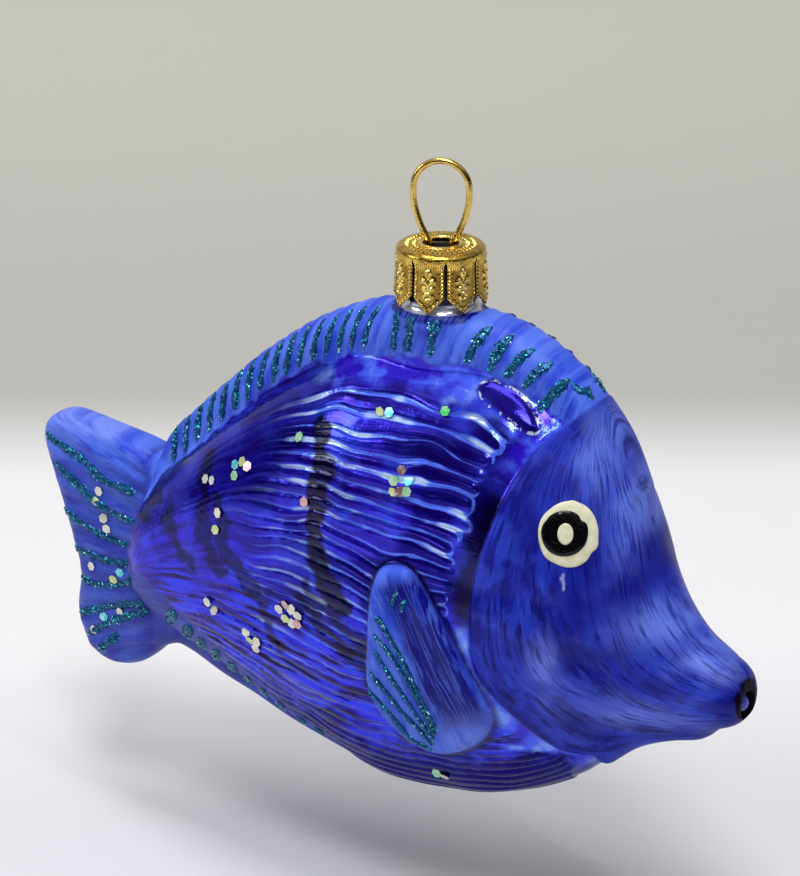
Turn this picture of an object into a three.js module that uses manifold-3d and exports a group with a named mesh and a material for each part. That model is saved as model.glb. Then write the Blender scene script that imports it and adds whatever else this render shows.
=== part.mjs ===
// A hanging glass ornament in the shape of a reef fish, in millimetres.
//
// The body is one hollow shell of blown glass with an open neck on its back. A stamped metal cap
// stands over the neck, and a spring wire goes through the hole in the cap: a loop above, two legs
// below that press on the bore of the neck. Enamel eyes and beads of glitter glue lie on the glass.
//
// The origin is the hang point, the inside of the top of the wire loop. +X points to the snout,
// +Y to the fish's left, and +Z up.

import * as THREE from 'three';
import { mergeVertices } from 'three/addons/utils/BufferGeometryUtils.js';
import Module from 'manifold-3d';

const wasm = await Module();
wasm.setup();

// Hanger wire
const WIRE_DIAMETER = 1.0;
const LOOP_WIDTH = 9.25;          // over the outside of the loop
const LOOP_RISE = 12.0;           // from the cap's top face to the inside of the loop
const STRAND_SPACING = 3.65;      // between the two strands in the hole, centre to centre
const LOOP_TURN = 22;             // degrees from the fish's length to the plane of the loop
const LEG_REACH = 14.5;           // how far the legs reach below the cap's top face

// Crown cap
const CAP_HEIGHT = 8.75;          // from the top face to the tips of the petals
const CAP_TOP_DIAMETER = 11.1;    // flat top face
const CAP_UPPER_DIAMETER = 13.3;  // skirt under the shoulder
const CAP_LOWER_DIAMETER = 14.1;  // skirt at the tips
const CAP_SHOULDER = 0.75;        // height of the rounded shoulder
const CAP_SHEET = 0.4;            // thickness of the stamped sheet
const PETALS = 8;
const PETAL_TURN = 15;            // degrees from the fish's length to the middle of a petal
const PETAL_CROWN = 0.3;          // how far a petal bulges between its slots
const PETAL_POINT = 2.3;          // height of the point of a petal
const SLOT_WIDTH = 0.35;
const SLOT_START = 1.1;           // from the top face down to the top of a slot
const HOLE_RIM_WIDTH = 0.7;       // raised ring around the hole
const HOLE_RIM_HEIGHT = 0.3;

// Clearances
const WIRE_CLEARANCE = 0.3;       // wire to the hole and to the bore
const CAP_CLEARANCE = 0.3;        // cap to the glass
const PAINT_GAP = 0.3;            // enamel and glitter to the glass and to each other

// Glass shell
const GLASS_WALL = 1.2;
const BODY_LENGTH = 107;          // tail root to snout
const BODY_DEPTH = 80.4;          // back to belly
const BODY_THICKNESS = 34;        // across the flanks
const HEAD_STEP = 0.8;            // the head stands proud of the flanks at the gill edge
const CREST_THICKNESS = 8.6;      // back fin, a rounded ridge
const CREST_NECK_THICKNESS = 12.8;  // the ridge where it swells around the neck
const CREST_SWELL = 18;           // how far from the neck the swelling reaches
const KEEL_THICKNESS = 6;         // fin under the belly
const COLLAR_DIAMETER = 13.8;     // glass shoulder under the cap
const COLLAR_HEIGHT = 3.2;        // of the bare glass under the cap
const NECK_ROOT = 10.5;           // from the cap's tips to where the neck is lost in the body
const TAIL_LENGTH = 23.6;         // root to the tip of the upper lobe
const TAIL_SPAN = 43.2;           // tip to tip
const TAIL_OVERLAP = 3.5;          // how far the root lies inside the end of the body
const TAIL_THICKNESS = 9;
const TAIL_EDGE_RADIUS = 3.2;
const TAIL_EDGE_THICKNESS = 7;    // at the trailing edge
const FIN_LENGTH = 31;            // side fins
const FIN_WIDTH = 16;
const FIN_LEAN = 22;              // degrees that the lower end leans forward
const FIN_RISE = 2.2;             // above the flank
const MOUTH_DIAMETER = 4.2;
const MOUTH_DEPTH = 0.9;

// Eyes
const EYE_WIDTH = 8.2;
const EYE_HEIGHT = 9.4;
const PUPIL_WIDTH = 6.3;
const PUPIL_HEIGHT = 6.6;
const GLINT_WIDTH = 2.6;
const GLINT_HEIGHT = 3.4;
const ENAMEL_THICKNESS = 0.35;

// Glitter beads
const REAR_RAYS = 16;             // behind the neck
const RAY_WIDTH = 1.25;
const RAY_HEIGHT = 0.55;
const RAY_TOP_DROP = 0.6;         // from the ridge down to the upper end of a ray
const RAY_FOOT_DROP = 6.3;        // and to its lower end
const FIN_RAY_WIDTH = 0.8;

// Fineness of the facets
const BODY_STATIONS = 30;
const BODY_RING = 40;
const HEAD_STATIONS = 20;
const HEAD_RING = 40;
const CREST_STATIONS = 26;
const CREST_RING = 16;
const INNER_STATIONS = 16;
const INNER_RING = 20;
const ROUND_SIDES = 40;
const TAIL_POINTS = 48;
const FIN_POINTS = 36;
const FIN_RAY_POINTS = 6;
const RAY_POINTS = 5;
const ENAMEL_SIDES = 20;
const LOOP_ARC_POINTS = 9;
const WIRE_SIDES = 8;
const WIRE_STEPS = 60;

const radians = THREE.MathUtils.degToRad;

// Heights along the neck axis
const capTopZ = -LOOP_RISE;
const tipZ = capTopZ - CAP_HEIGHT;
const backZ = tipZ - CAP_CLEARANCE;

// Outlines of the body as shares of its length, forward from the neck axis, and of its depth,
// down from the back
const CREST_LINE = [
  [-0.485, 0.452], [-0.459, 0.380], [-0.421, 0.326], [-0.348, 0.235], [-0.293, 0.168],
  [-0.241, 0.116], [-0.190, 0.072], [-0.139, 0.037], [-0.090, 0.013], [0, 0], [0.072, 0.002],
  [0.120, 0.012], [0.167, 0.035], [0.214, 0.073], [0.255, 0.122], [0.290, 0.181], [0.322, 0.273],
];
const BODY_TOP = [
  [-0.514, 0.597], [-0.505, 0.548], [-0.491, 0.498], [-0.439, 0.423], [-0.336, 0.299],
  [-0.215, 0.180], [-0.075, 0.090], [0.056, 0.085], [0.131, 0.095], [0.196, 0.120],
  [0.262, 0.168], [0.303, 0.221], [0.324, 0.283], [0.337, 0.350], [0.357, 0.419],
  [0.387, 0.487], [0.420, 0.538], [0.452, 0.568], [0.478, 0.602], [0.492, 0.645],
];
const BODY_BOTTOM = [
  [-0.514, 0.690], [-0.505, 0.735], [-0.486, 0.765], [-0.421, 0.806], [-0.318, 0.858],
  [-0.178, 0.938], [-0.037, 0.984], [0.075, 0.971], [0.178, 0.929], [0.252, 0.874],
  [0.299, 0.818], [0.332, 0.782], [0.363, 0.760], [0.391, 0.745], [0.417, 0.732],
  [0.441, 0.719], [0.462, 0.706], [0.480, 0.689], [0.492, 0.662],
];
const KEEL_LINE = [
  [-0.490, 0.800], [-0.467, 0.836], [-0.426, 0.853], [-0.371, 0.884], [-0.317, 0.907],
  [-0.263, 0.934], [-0.191, 0.962], [-0.122, 0.982], [-0.049, 0.992], [0, 0.984],
];
const GILL_EDGE = [
  [0.262, 0.115], [0.243, 0.143], [0.209, 0.183], [0.184, 0.248], [0.167, 0.320],
  [0.152, 0.403], [0.144, 0.485], [0.143, 0.566], [0.154, 0.627], [0.178, 0.675],
  [0.207, 0.719], [0.234, 0.757], [0.256, 0.782], [0.286, 0.792],
];
// Half of the body's thickness along its length, as a share of the whole
const PLAN = [
  [-0.514, 0.11], [-0.509, 0.19], [-0.495, 0.26], [-0.460, 0.31], [-0.421, 0.34],
  [-0.327, 0.40], [-0.187, 0.46], [-0.047, 0.50], [0.075, 0.50], [0.168, 0.465],
  [0.243, 0.395], [0.308, 0.310], [0.350, 0.250], [0.390, 0.202], [0.430, 0.165],
  [0.458, 0.140], [0.478, 0.110], [0.492, 0.045],
];
// How square the upper half of a section is: full on the flanks, a wedge at the forehead
const UPPER_SQUARENESS = [[-0.514, 2.1], [0.120, 2.1], [0.300, 1.55], [0.420, 1.7], [0.492, 2.1]];
const LOWER_SQUARENESS = 2.1;
// Tail outline: shares of its length back from the root, and of its span down from the upper tip
const TAIL_OUTLINE = [
  [-0.30, 0.16], [0.02, 0.07], [0.28, 0.04], [0.60, 0.01], [0.79, 0.00], [0.93, 0.035],
  [0.98, 0.11], [0.90, 0.26], [0.81, 0.41], [0.725, 0.56], [0.70, 0.64], [0.735, 0.79],
  [0.665, 0.915], [0.54, 0.975], [0.36, 0.985], [0.18, 0.95], [0.02, 0.87], [-0.30, 0.72],
];
// Side fin outline: shares of its length down from the root and of its width to the front
const FIN_OUTLINE = [
  [0.00, 0.06], [0.03, 0.25], [0.12, 0.35], [0.28, 0.43], [0.55, 0.49], [0.80, 0.53],
  [0.92, 0.40], [0.99, 0.14], [1.01, -0.20], [0.93, -0.46], [0.80, -0.61], [0.66, -0.66],
  [0.52, -0.60], [0.34, -0.42], [0.15, -0.24], [0.03, -0.08],
];
// Glitter lines of a side fin in the same shares: their upper ends, and where they run together
const FIN_LINE_STARTS = [[0.22, -0.18], [0.31, -0.26], [0.39, -0.35], [0.49, -0.48], [0.58, -0.56]];
const FIN_LINE_END = [0.92, -0.18];
// Where the forms of the head and the trunk end inside each other, as shares of the length
const TRUNK_FRONT = 0.38;
const HEAD_REAR = 0.11;
// Places on the side, as shares of the body's length and depth
const EYE_PLACE = [0.262, 0.338];
const FIN_ROOT = [0.006, 0.450];
const TAIL_TOP = 0.388;

// Rays of the back fin: shares of the body's length at the upper and the lower end
const NECK_RAYS = [[-0.040, -0.042], [-0.008, -0.020], [0.029, 0.017]];
const FRONT_RAYS = [[0.098, 0.073], [0.130, 0.108], [0.164, 0.132], [0.192, 0.159]];
const REAR_RAY_SPAN = [-0.440, -0.081];
const REAR_RAY_LEAN = 0.014;      // how much further back the lower end of the foremost one lies

const lengthwise = (share) => share * BODY_LENGTH;
const downFromBack = (share) => backZ - share * BODY_DEPTH;

// A smooth curve through points in rising order, which never overshoots them
function curveThrough(points) {
  const last = points.length - 1;
  const secants = points.slice(1).map((p, i) => (p[1] - points[i][1]) / (p[0] - points[i][0]));
  const slopes = points.map((_, i) => {
    if (i === 0) return secants[0];
    if (i === last) return secants[last - 1];
    const product = secants[i - 1] * secants[i];
    return product <= 0 ? 0 : (2 * product) / (secants[i - 1] + secants[i]);
  });
  return (x) => {
    const at = THREE.MathUtils.clamp(x, points[0][0], points[last][0]);
    let i = 0;
    while (i < last - 1 && at > points[i + 1][0]) i += 1;
    const span = points[i + 1][0] - points[i][0];
    const t = (at - points[i][0]) / span;
    const fromStart = (2 * t - 3) * t * t * (points[i][1] - points[i + 1][1]) + points[i][1];
    const bend = t * (1 - t) * span * ((1 - t) * slopes[i] - t * slopes[i + 1]);
    return fromStart + bend;
  };
}

const shareCurves = {
  crest: curveThrough(CREST_LINE),
  bodyTop: curveThrough(BODY_TOP),
  bodyBottom: curveThrough(BODY_BOTTOM),
  keel: curveThrough(KEEL_LINE),
  plan: curveThrough(PLAN),
  squareness: curveThrough(UPPER_SQUARENESS),
};
const lineZ = (name, x) => downFromBack(shareCurves[name](x / BODY_LENGTH));
const halfThickness = (x) => shareCurves.plan(x / BODY_LENGTH) * BODY_THICKNESS;

// A cross section is an oval between two heights. Squareness 2 is an ellipse, more is squarer,
// and the upper and the lower half each have their own.
function oval(top, bottom, half, upper, lower = upper) {
  return { mid: (top + bottom) / 2, rise: (top - bottom) / 2, half, upper, lower };
}
function bodySection(x) {
  const upper = shareCurves.squareness(x / BODY_LENGTH);
  return oval(lineZ('bodyTop', x), lineZ('bodyBottom', x), halfThickness(x), upper, LOWER_SQUARENESS);
}
// A section grown outward, or drawn in where the growth is negative
function grown(section, growth) {
  const rise = Math.max(section.rise + growth, GLASS_WALL / 2);
  const half = Math.max(section.half + growth, GLASS_WALL / 4);
  return { ...section, rise, half };
}
const headSection = (x) => grown(bodySection(x), HEAD_STEP);
const endsOf = (line) => [lengthwise(line[0][0]), lengthwise(line.at(-1)[0])];
const bodyEnds = endsOf(BODY_TOP);
const crestEnds = endsOf(CREST_LINE);
const keelEnds = endsOf(KEEL_LINE);
const crestHalf = curveThrough([
  [crestEnds[0], CREST_THICKNESS * 0.33],
  [crestEnds[0] * 0.8, CREST_THICKNESS * 0.47],
  [-CREST_SWELL, CREST_THICKNESS / 2],
  [-CREST_SWELL / 2, (CREST_THICKNESS + CREST_NECK_THICKNESS) / 4],
  [0, CREST_NECK_THICKNESS / 2],
  [CREST_SWELL / 2, (CREST_THICKNESS + CREST_NECK_THICKNESS) / 4],
  [CREST_SWELL, CREST_THICKNESS * 0.55],
  [crestEnds[1], CREST_THICKNESS * 0.45],
]);
const crestSection = (x) => {
  return oval(lineZ('crest', x), lineZ('bodyTop', x) - CREST_THICKNESS * 0.6, crestHalf(x), 2.5);
};
const keelSection = (x) => {
  return oval(lineZ('bodyBottom', x) + KEEL_THICKNESS, lineZ('keel', x), KEEL_THICKNESS / 2, 2.3);
};

// Half the thickness of an oval at a height, 0 above and below it
function ovalReach(section, z) {
  const t = (z - section.mid) / section.rise;
  if (Math.abs(t) >= 1) return 0;
  const squareness = t > 0 ? section.upper : section.lower;
  return section.half * (1 - Math.abs(t) ** squareness) ** (1 / squareness);
}

// Neck and collar
const neckRadius = CAP_UPPER_DIAMETER / 2 - CAP_SHEET - PETAL_CROWN - CAP_CLEARANCE;
const boreRadius = neckRadius - GLASS_WALL;
const rimZ = capTopZ - CAP_SHEET - CAP_CLEARANCE;
const collarRadius = COLLAR_DIAMETER / 2;
const collarTopZ = tipZ - CAP_CLEARANCE;
const neckRootZ = tipZ - NECK_ROOT;
const collarProfile = [
  [boreRadius + GLASS_WALL, neckRootZ],
  [boreRadius + GLASS_WALL, collarTopZ - COLLAR_HEIGHT * 1.7],
  [collarRadius * 0.92, collarTopZ - COLLAR_HEIGHT * 1.2],
  [collarRadius, collarTopZ - COLLAR_HEIGHT * 0.7],
  [collarRadius, collarTopZ - COLLAR_HEIGHT * 0.35],
  [collarRadius * 0.7 + neckRadius * 0.3, collarTopZ - COLLAR_HEIGHT * 0.08],
  [neckRadius, collarTopZ],
];
const collarReach = curveThrough(collarProfile.map(([r, z]) => [z, r]));

// The surface of the glass: how far it stands from the middle plane at a place on the side
function skinReach(x, z) {
  const reaches = [ovalReach(bodySection(x), z)];
  if (x > crestEnds[0] && x < crestEnds[1]) reaches.push(ovalReach(crestSection(x), z));
  if (z > neckRootZ && Math.abs(x) < collarReach(z)) {
    reaches.push(Math.sqrt(collarReach(z) ** 2 - x ** 2));
  }
  return Math.max(...reaches);
}
const headReach = (x, z) => ovalReach(headSection(x), z);

// Builds a closed body from vertices and triangles, with its faces pointing out
function closedBody(vertices, triangles) {
  let volume = 0;
  for (const [a, b, c] of triangles) {
    volume += vertices[a].dot(vertices[b].clone().cross(vertices[c]));
  }
  const index = triangles.flatMap(([a, b, c]) => (volume < 0 ? [a, c, b] : [a, b, c]));
  const geometry = new THREE.BufferGeometry();
  geometry.setAttribute('position', new THREE.Float32BufferAttribute(vertices.flatMap((v) => v.toArray()), 3));
  geometry.setIndex(index);
  return geometry;
}

// Joins rings of the same number of points into a body, closed at both ends by a fan
function loft(rings) {
  const count = rings[0].length;
  const vertices = rings.flat();
  const triangles = [];
  for (let i = 0; i < rings.length - 1; i += 1) {
    for (let k = 0; k < count; k += 1) {
      const a = i * count + k;
      const b = i * count + ((k + 1) % count);
      triangles.push([a, b, b + count], [a, b + count, a + count]);
    }
  }
  for (const [start, turn] of [[0, 1], [(rings.length - 1) * count, -1]]) {
    const middle = new THREE.Vector3();
    for (let k = 0; k < count; k += 1) middle.add(vertices[start + k]);
    vertices.push(middle.divideScalar(count));
    for (let k = 0; k < count; k += 1) {
      const pair = [start + k, start + ((k + 1) % count)];
      if (turn > 0) pair.reverse();
      triangles.push([pair[0], pair[1], vertices.length - 1]);
    }
  }
  return closedBody(vertices, triangles);
}

// Places spread evenly from one end to the other, closer together at the ends
function spread(from, to, count) {
  return Array.from({ length: count }, (_, i) => {
    const t = i / (count - 1);
    const eased = 0.7 * t + 0.3 * (1 - Math.cos(Math.PI * t)) / 2;
    return from + (to - from) * eased;
  });
}

// Lofts a form along X from its cross sections, drawn in by a wall where one is given
function loftAlong(sectionAt, [from, to], stations, sides, wall = 0) {
  const rings = spread(from + wall, to - wall, stations).map((x) => {
    const section = grown(sectionAt(x), -wall);
    return Array.from({ length: sides }, (_, k) => {
      const angle = (2 * Math.PI * k) / sides;
      const power = 2 / (Math.cos(angle) > 0 ? section.upper : section.lower);
      const across = Math.sign(Math.sin(angle)) * Math.abs(Math.sin(angle)) ** power;
      const up = Math.sign(Math.cos(angle)) * Math.abs(Math.cos(angle)) ** power;
      return new THREE.Vector3(x, section.half * across, section.mid + section.rise * up);
    });
  });
  return loft(rings);
}

// Conversion between geometries and solids
function solid(geometry) {
  const bare = geometry.clone();
  bare.deleteAttribute('normal');
  bare.deleteAttribute('uv');
  const merged = mergeVertices(bare, 1e-4);
  const mesh = new wasm.Mesh({
    numProp: 3,
    vertProperties: merged.attributes.position.array,
    triVerts: Uint32Array.from(merged.index.array),
  });
  return new wasm.Manifold(mesh);
}
function geometryOf(body) {
  const mesh = body.getMesh();
  const geometry = new THREE.BufferGeometry();
  geometry.setAttribute('position', new THREE.Float32BufferAttribute(mesh.vertProperties, 3));
  geometry.setIndex(Array.from(mesh.triVerts));
  return geometry;
}
const joined = (geometries) => geometries.map(solid).reduce((whole, next) => whole.add(next));

// A prism across the whole fish from an outline in the middle plane, given as [x, z] points
function acrossFish(points, thickness) {
  const shape = new THREE.Shape(points.map(([x, z]) => new THREE.Vector2(x, z)));
  const geometry = new THREE.ExtrudeGeometry(shape, { depth: thickness, bevelEnabled: false });
  geometry.rotateX(Math.PI / 2);
  geometry.translate(0, thickness / 2, 0);
  return geometry;
}

// The tail: a rounded slab, thicker at its root than at its trailing edge
const tailRootX = bodyEnds[0] + TAIL_OVERLAP;
const tailTopZ = downFromBack(TAIL_TOP);
function tail(wall) {
  const curve = new THREE.CatmullRomCurve3(
    TAIL_OUTLINE.map(([back, down]) => {
      return new THREE.Vector3(tailRootX - back * TAIL_LENGTH, tailTopZ - down * TAIL_SPAN, 0);
    }),
    true,
    'centripetal',
  );
  const outline = curve.getPoints(TAIL_POINTS).slice(0, -1);
  const shape = new THREE.Shape(outline.map((p) => new THREE.Vector2(p.x, p.y)));
  const edge = TAIL_EDGE_RADIUS;
  const geometry = new THREE.ExtrudeGeometry(shape, {
    depth: TAIL_THICKNESS - 2 * edge,
    bevelThickness: edge - wall,
    bevelSize: edge - wall,
    bevelOffset: -edge,
    bevelSegments: wall > 0 ? 1 : 3,
  });
  geometry.rotateX(Math.PI / 2);
  geometry.translate(0, TAIL_THICKNESS / 2 - edge, 0);
  const position = geometry.attributes.position;
  for (let i = 0; i < position.count; i += 1) {
    const back = THREE.MathUtils.clamp((tailRootX - position.getX(i)) / TAIL_LENGTH, 0, 1);
    const taper = THREE.MathUtils.lerp(1, TAIL_EDGE_THICKNESS / TAIL_THICKNESS, back);
    position.setY(i, position.getY(i) * taper);
  }
  return geometry;
}

// A pad laid on a side of the fish: rings of its outline shrunk to its middle, each with its
// height over the surface, and the same rings below. side is -1 for the right, 1 for the left.
function padOnSide(outline, middle, topRings, bottomRings, reach, side) {
  const ring = ([share, height]) => outline.map(([x, z]) => {
    const px = middle[0] + (x - middle[0]) * share;
    const pz = middle[1] + (z - middle[1]) * share;
    return new THREE.Vector3(px, side * (reach(px, pz) + height), pz);
  });
  return loft([...bottomRings.map(ring), ...topRings.map(ring)]);
}

// A flat ring or disc of enamel on the head
function enamelOnHead(middle, outer, inner, side) {
  const sides = ENAMEL_SIDES;
  const outline = Array.from({ length: sides }, (_, k) => {
    const angle = (2 * Math.PI * k) / sides;
    return [Math.cos(angle), Math.sin(angle)];
  });
  const points = (size, height) => outline.map(([c, s]) => {
    const x = middle[0] + (c * size[0]) / 2;
    const z = middle[1] + (s * size[1]) / 2;
    return new THREE.Vector3(x, side * (headReach(x, z) + height), z);
  });
  const low = PAINT_GAP;
  const high = PAINT_GAP + ENAMEL_THICKNESS;
  if (!inner) {
    const small = outer.map((size) => size * 0.6);
    return loft([points(small, low), points(outer, low), points(outer, high * 0.8), points(small, high)]);
  }
  const rings = [points(inner, low), points(outer, low), points(outer, high), points(inner, high)];
  const vertices = rings.flat();
  const triangles = [];
  rings.forEach((_, i) => {
    const start = i * sides;
    const next = ((i + 1) % rings.length) * sides;
    for (let k = 0; k < sides; k += 1) {
      const after = (k + 1) % sides;
      triangles.push([start + k, start + after, next + after], [start + k, next + after, next + k]);
    }
  });
  return closedBody(vertices, triangles);
}

// A bead of glitter glue that follows a path of [x, z] points over a side of the fish
function beadOnSide(path, width, height, reach, side) {
  const step = 0.05;
  const places = path.map(([x, z]) => {
    const point = new THREE.Vector3(x, side * reach(x, z), z);
    const slopeX = (reach(x + step, z) - reach(x - step, z)) / (2 * step);
    const slopeZ = (reach(x, z + step) - reach(x, z - step)) / (2 * step);
    const normal = new THREE.Vector3(-slopeX, side, -slopeZ).normalize();
    return { point, normal };
  });
  const last = places.length - 1;
  const rings = places.map(({ point, normal }, i) => {
    const along = places[Math.min(i + 1, last)].point.clone().sub(places[Math.max(i - 1, 0)].point);
    const aside = new THREE.Vector3().crossVectors(along, normal).normalize();
    const full = i === 0 || i === last ? 0.55 : 1;
    const section = [[-0.5, 0], [0.5, 0], [0.28, 1], [-0.28, 1]];
    return section.map(([w, h]) => point.clone()
      .addScaledVector(aside, w * width * full)
      .addScaledVector(normal, PAINT_GAP + h * height * full));
  });
  return loft(rings);
}

// Side fins: a leaf on the flank whose lower end leans forward
const finMiddle = [FIN_ROOT[0] * BODY_LENGTH, downFromBack(FIN_ROOT[1])];
function finPlace(down, forward) {
  const lean = radians(FIN_LEAN);
  const along = down * FIN_LENGTH;
  const across = forward * FIN_WIDTH;
  return [
    finMiddle[0] + along * Math.sin(lean) + across * Math.cos(lean),
    finMiddle[1] - along * Math.cos(lean) + across * Math.sin(lean),
  ];
}
const flankReach = (x, z) => ovalReach(bodySection(x), z);
const finReach = (x, z) => flankReach(x, z) + FIN_RISE;
function sideFin(side) {
  const curve = new THREE.CatmullRomCurve3(
    FIN_OUTLINE.map(([down, forward]) => new THREE.Vector3(...finPlace(down, forward), 0)),
    true,
    'centripetal',
  );
  const outline = curve.getPoints(FIN_POINTS).slice(0, -1).map((p) => [p.x, p.y]);
  const top = [[1, FIN_RISE * 0.35], [0.96, FIN_RISE * 0.75], [0.88, FIN_RISE], [0.45, FIN_RISE]];
  const bottom = [[0.45, -GLASS_WALL / 2], [1, -GLASS_WALL / 2]];
  return padOnSide(outline, finPlace(0.55, 0), top, bottom, flankReach, side);
}

function glassBody() {
  const snoutX = bodyEnds[1];
  const snoutZ = (lineZ('bodyTop', snoutX) + lineZ('bodyBottom', snoutX)) / 2;

  const gill = new THREE.CatmullRomCurve3(
    GILL_EDGE.map(([x, z]) => new THREE.Vector3(lengthwise(x), downFromBack(z), 0)),
  ).getPoints(36).map((p) => [p.x, p.y]);
  const ahead = snoutX + BODY_THICKNESS;
  const above = backZ + BODY_THICKNESS;
  const below = downFromBack(1);
  const region = [[gill[0][0], above], ...gill, [gill.at(-1)[0], below], [ahead, below], [ahead, above]];
  const headEnds = [lengthwise(HEAD_REAR), snoutX];
  const headForm = loftAlong(headSection, headEnds, HEAD_STATIONS, HEAD_RING);
  const head = solid(headForm).intersect(solid(acrossFish(region, 2 * BODY_THICKNESS)));

  const neckProfile = [
    new THREE.Vector2(0, neckRootZ),
    ...collarProfile.map(([r, z]) => new THREE.Vector2(r, z)),
    new THREE.Vector2(neckRadius, rimZ),
    new THREE.Vector2(0, rimZ),
  ];
  const outer = joined([
    loftAlong(bodySection, [bodyEnds[0], lengthwise(TRUNK_FRONT)], BODY_STATIONS, BODY_RING),
    loftAlong(crestSection, crestEnds, CREST_STATIONS, CREST_RING),
    loftAlong(keelSection, keelEnds, CREST_STATIONS / 2, CREST_RING),
    new THREE.LatheGeometry(neckProfile, ROUND_SIDES).rotateX(Math.PI / 2),
    tail(0),
    sideFin(-1),
    sideFin(1),
  ]).add(head);

  const boreLength = rimZ - neckRootZ + 3 * GLASS_WALL;
  const bore = new THREE.CylinderGeometry(boreRadius, boreRadius, boreLength, ROUND_SIDES);
  bore.rotateX(Math.PI / 2);
  bore.translate(0, 0, rimZ + GLASS_WALL - boreLength / 2);
  const innerEnds = [bodyEnds[0] + GLASS_WALL, bodyEnds[1] - GLASS_WALL];
  const inner = joined([
    loftAlong(bodySection, innerEnds, INNER_STATIONS, INNER_RING, GLASS_WALL),
    loftAlong(crestSection, crestEnds, INNER_STATIONS, INNER_RING / 2, GLASS_WALL),
    tail(GLASS_WALL),
    bore,
  ]);

  const mouth = new THREE.SphereGeometry(MOUTH_DIAMETER / 2, 14, 8);
  mouth.scale((MOUTH_DEPTH / MOUTH_DIAMETER) * 2, 1, 1);
  mouth.translate(snoutX, 0, snoutZ);
  return geometryOf(outer.subtract(inner).subtract(solid(mouth)));
}

// The cap: a stamped cup whose skirt is cut into crowned, pointed petals
const holeRadius = STRAND_SPACING / 2 + WIRE_DIAMETER / 2 + WIRE_CLEARANCE;
function crownCap() {
  const sides = PETALS * 6;
  const skirtZ = capTopZ - CAP_SHOULDER;
  const petalShare = (k) => 1 - Math.abs(Math.sin((Math.PI * k) / 6)) ** 1.5;
  const ring = (radius, z, crown) => Array.from({ length: sides }, (_, k) => {
    const angle = (2 * Math.PI * k) / sides;
    const r = radius - crown * petalShare(k);
    return new THREE.Vector3(r * Math.cos(angle), r * Math.sin(angle), z);
  });
  const topRadius = CAP_TOP_DIAMETER / 2;
  const upper = CAP_UPPER_DIAMETER / 2;
  const lower = CAP_LOWER_DIAMETER / 2;
  const rimInner = holeRadius;
  const rimOuter = holeRadius + HOLE_RIM_WIDTH;
  const rings = [
    ring(rimInner, capTopZ, 0),
    ring((rimInner + rimOuter) / 2, capTopZ + HOLE_RIM_HEIGHT, 0),
    ring(rimOuter, capTopZ, 0),
    ring(topRadius, capTopZ, 0),
    ring(topRadius + (upper - topRadius) * 0.7, capTopZ - CAP_SHOULDER * 0.35, 0),
    ring(upper, skirtZ, PETAL_CROWN / 2),
    ring(upper, capTopZ - SLOT_START, PETAL_CROWN),
    ring(lower, tipZ, PETAL_CROWN),
    ring(lower - CAP_SHEET, tipZ, PETAL_CROWN),
    ring(upper - CAP_SHEET, capTopZ - SLOT_START, PETAL_CROWN),
    ring(upper - CAP_SHEET, skirtZ, PETAL_CROWN / 2),
    ring(topRadius - CAP_SHEET * 0.3, capTopZ - CAP_SHEET, 0),
    ring(rimInner, capTopZ - CAP_SHEET, 0),
  ];
  const vertices = rings.flat();
  const triangles = [];
  rings.forEach((_, i) => {
    const next = (i + 1) % rings.length;
    for (let k = 0; k < sides; k += 1) {
      const a = i * sides + k;
      const b = i * sides + ((k + 1) % sides);
      const c = next * sides + ((k + 1) % sides);
      const d = next * sides + k;
      triangles.push([a, b, c], [a, c, d]);
    }
  });
  let cap = solid(closedBody(vertices, triangles));

  // each cutter is a slot that opens into the notch between the points of two petals
  const notch = (Math.PI * CAP_LOWER_DIAMETER) / PETALS / 2 - CAP_SHEET / 2;
  const half = SLOT_WIDTH / 2;
  const cutter = new THREE.Shape([
    new THREE.Vector2(-half, -SLOT_START),
    new THREE.Vector2(-half, -(CAP_HEIGHT - PETAL_POINT)),
    new THREE.Vector2(-notch, -CAP_HEIGHT),
    new THREE.Vector2(-notch, -CAP_HEIGHT - 1),
    new THREE.Vector2(notch, -CAP_HEIGHT - 1),
    new THREE.Vector2(notch, -CAP_HEIGHT),
    new THREE.Vector2(half, -(CAP_HEIGHT - PETAL_POINT)),
    new THREE.Vector2(half, -SLOT_START),
  ]);
  for (let k = 0; k < PETALS; k += 1) {
    const slot = new THREE.ExtrudeGeometry(cutter, { depth: CAP_LOWER_DIAMETER, bevelEnabled: false });
    slot.rotateX(Math.PI / 2);
    slot.rotateZ(Math.PI / 2 + (2 * Math.PI * k) / PETALS);
    slot.translate(0, 0, capTopZ);
    cap = cap.subtract(solid(slot));
  }
  return geometryOf(cap);
}

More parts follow.
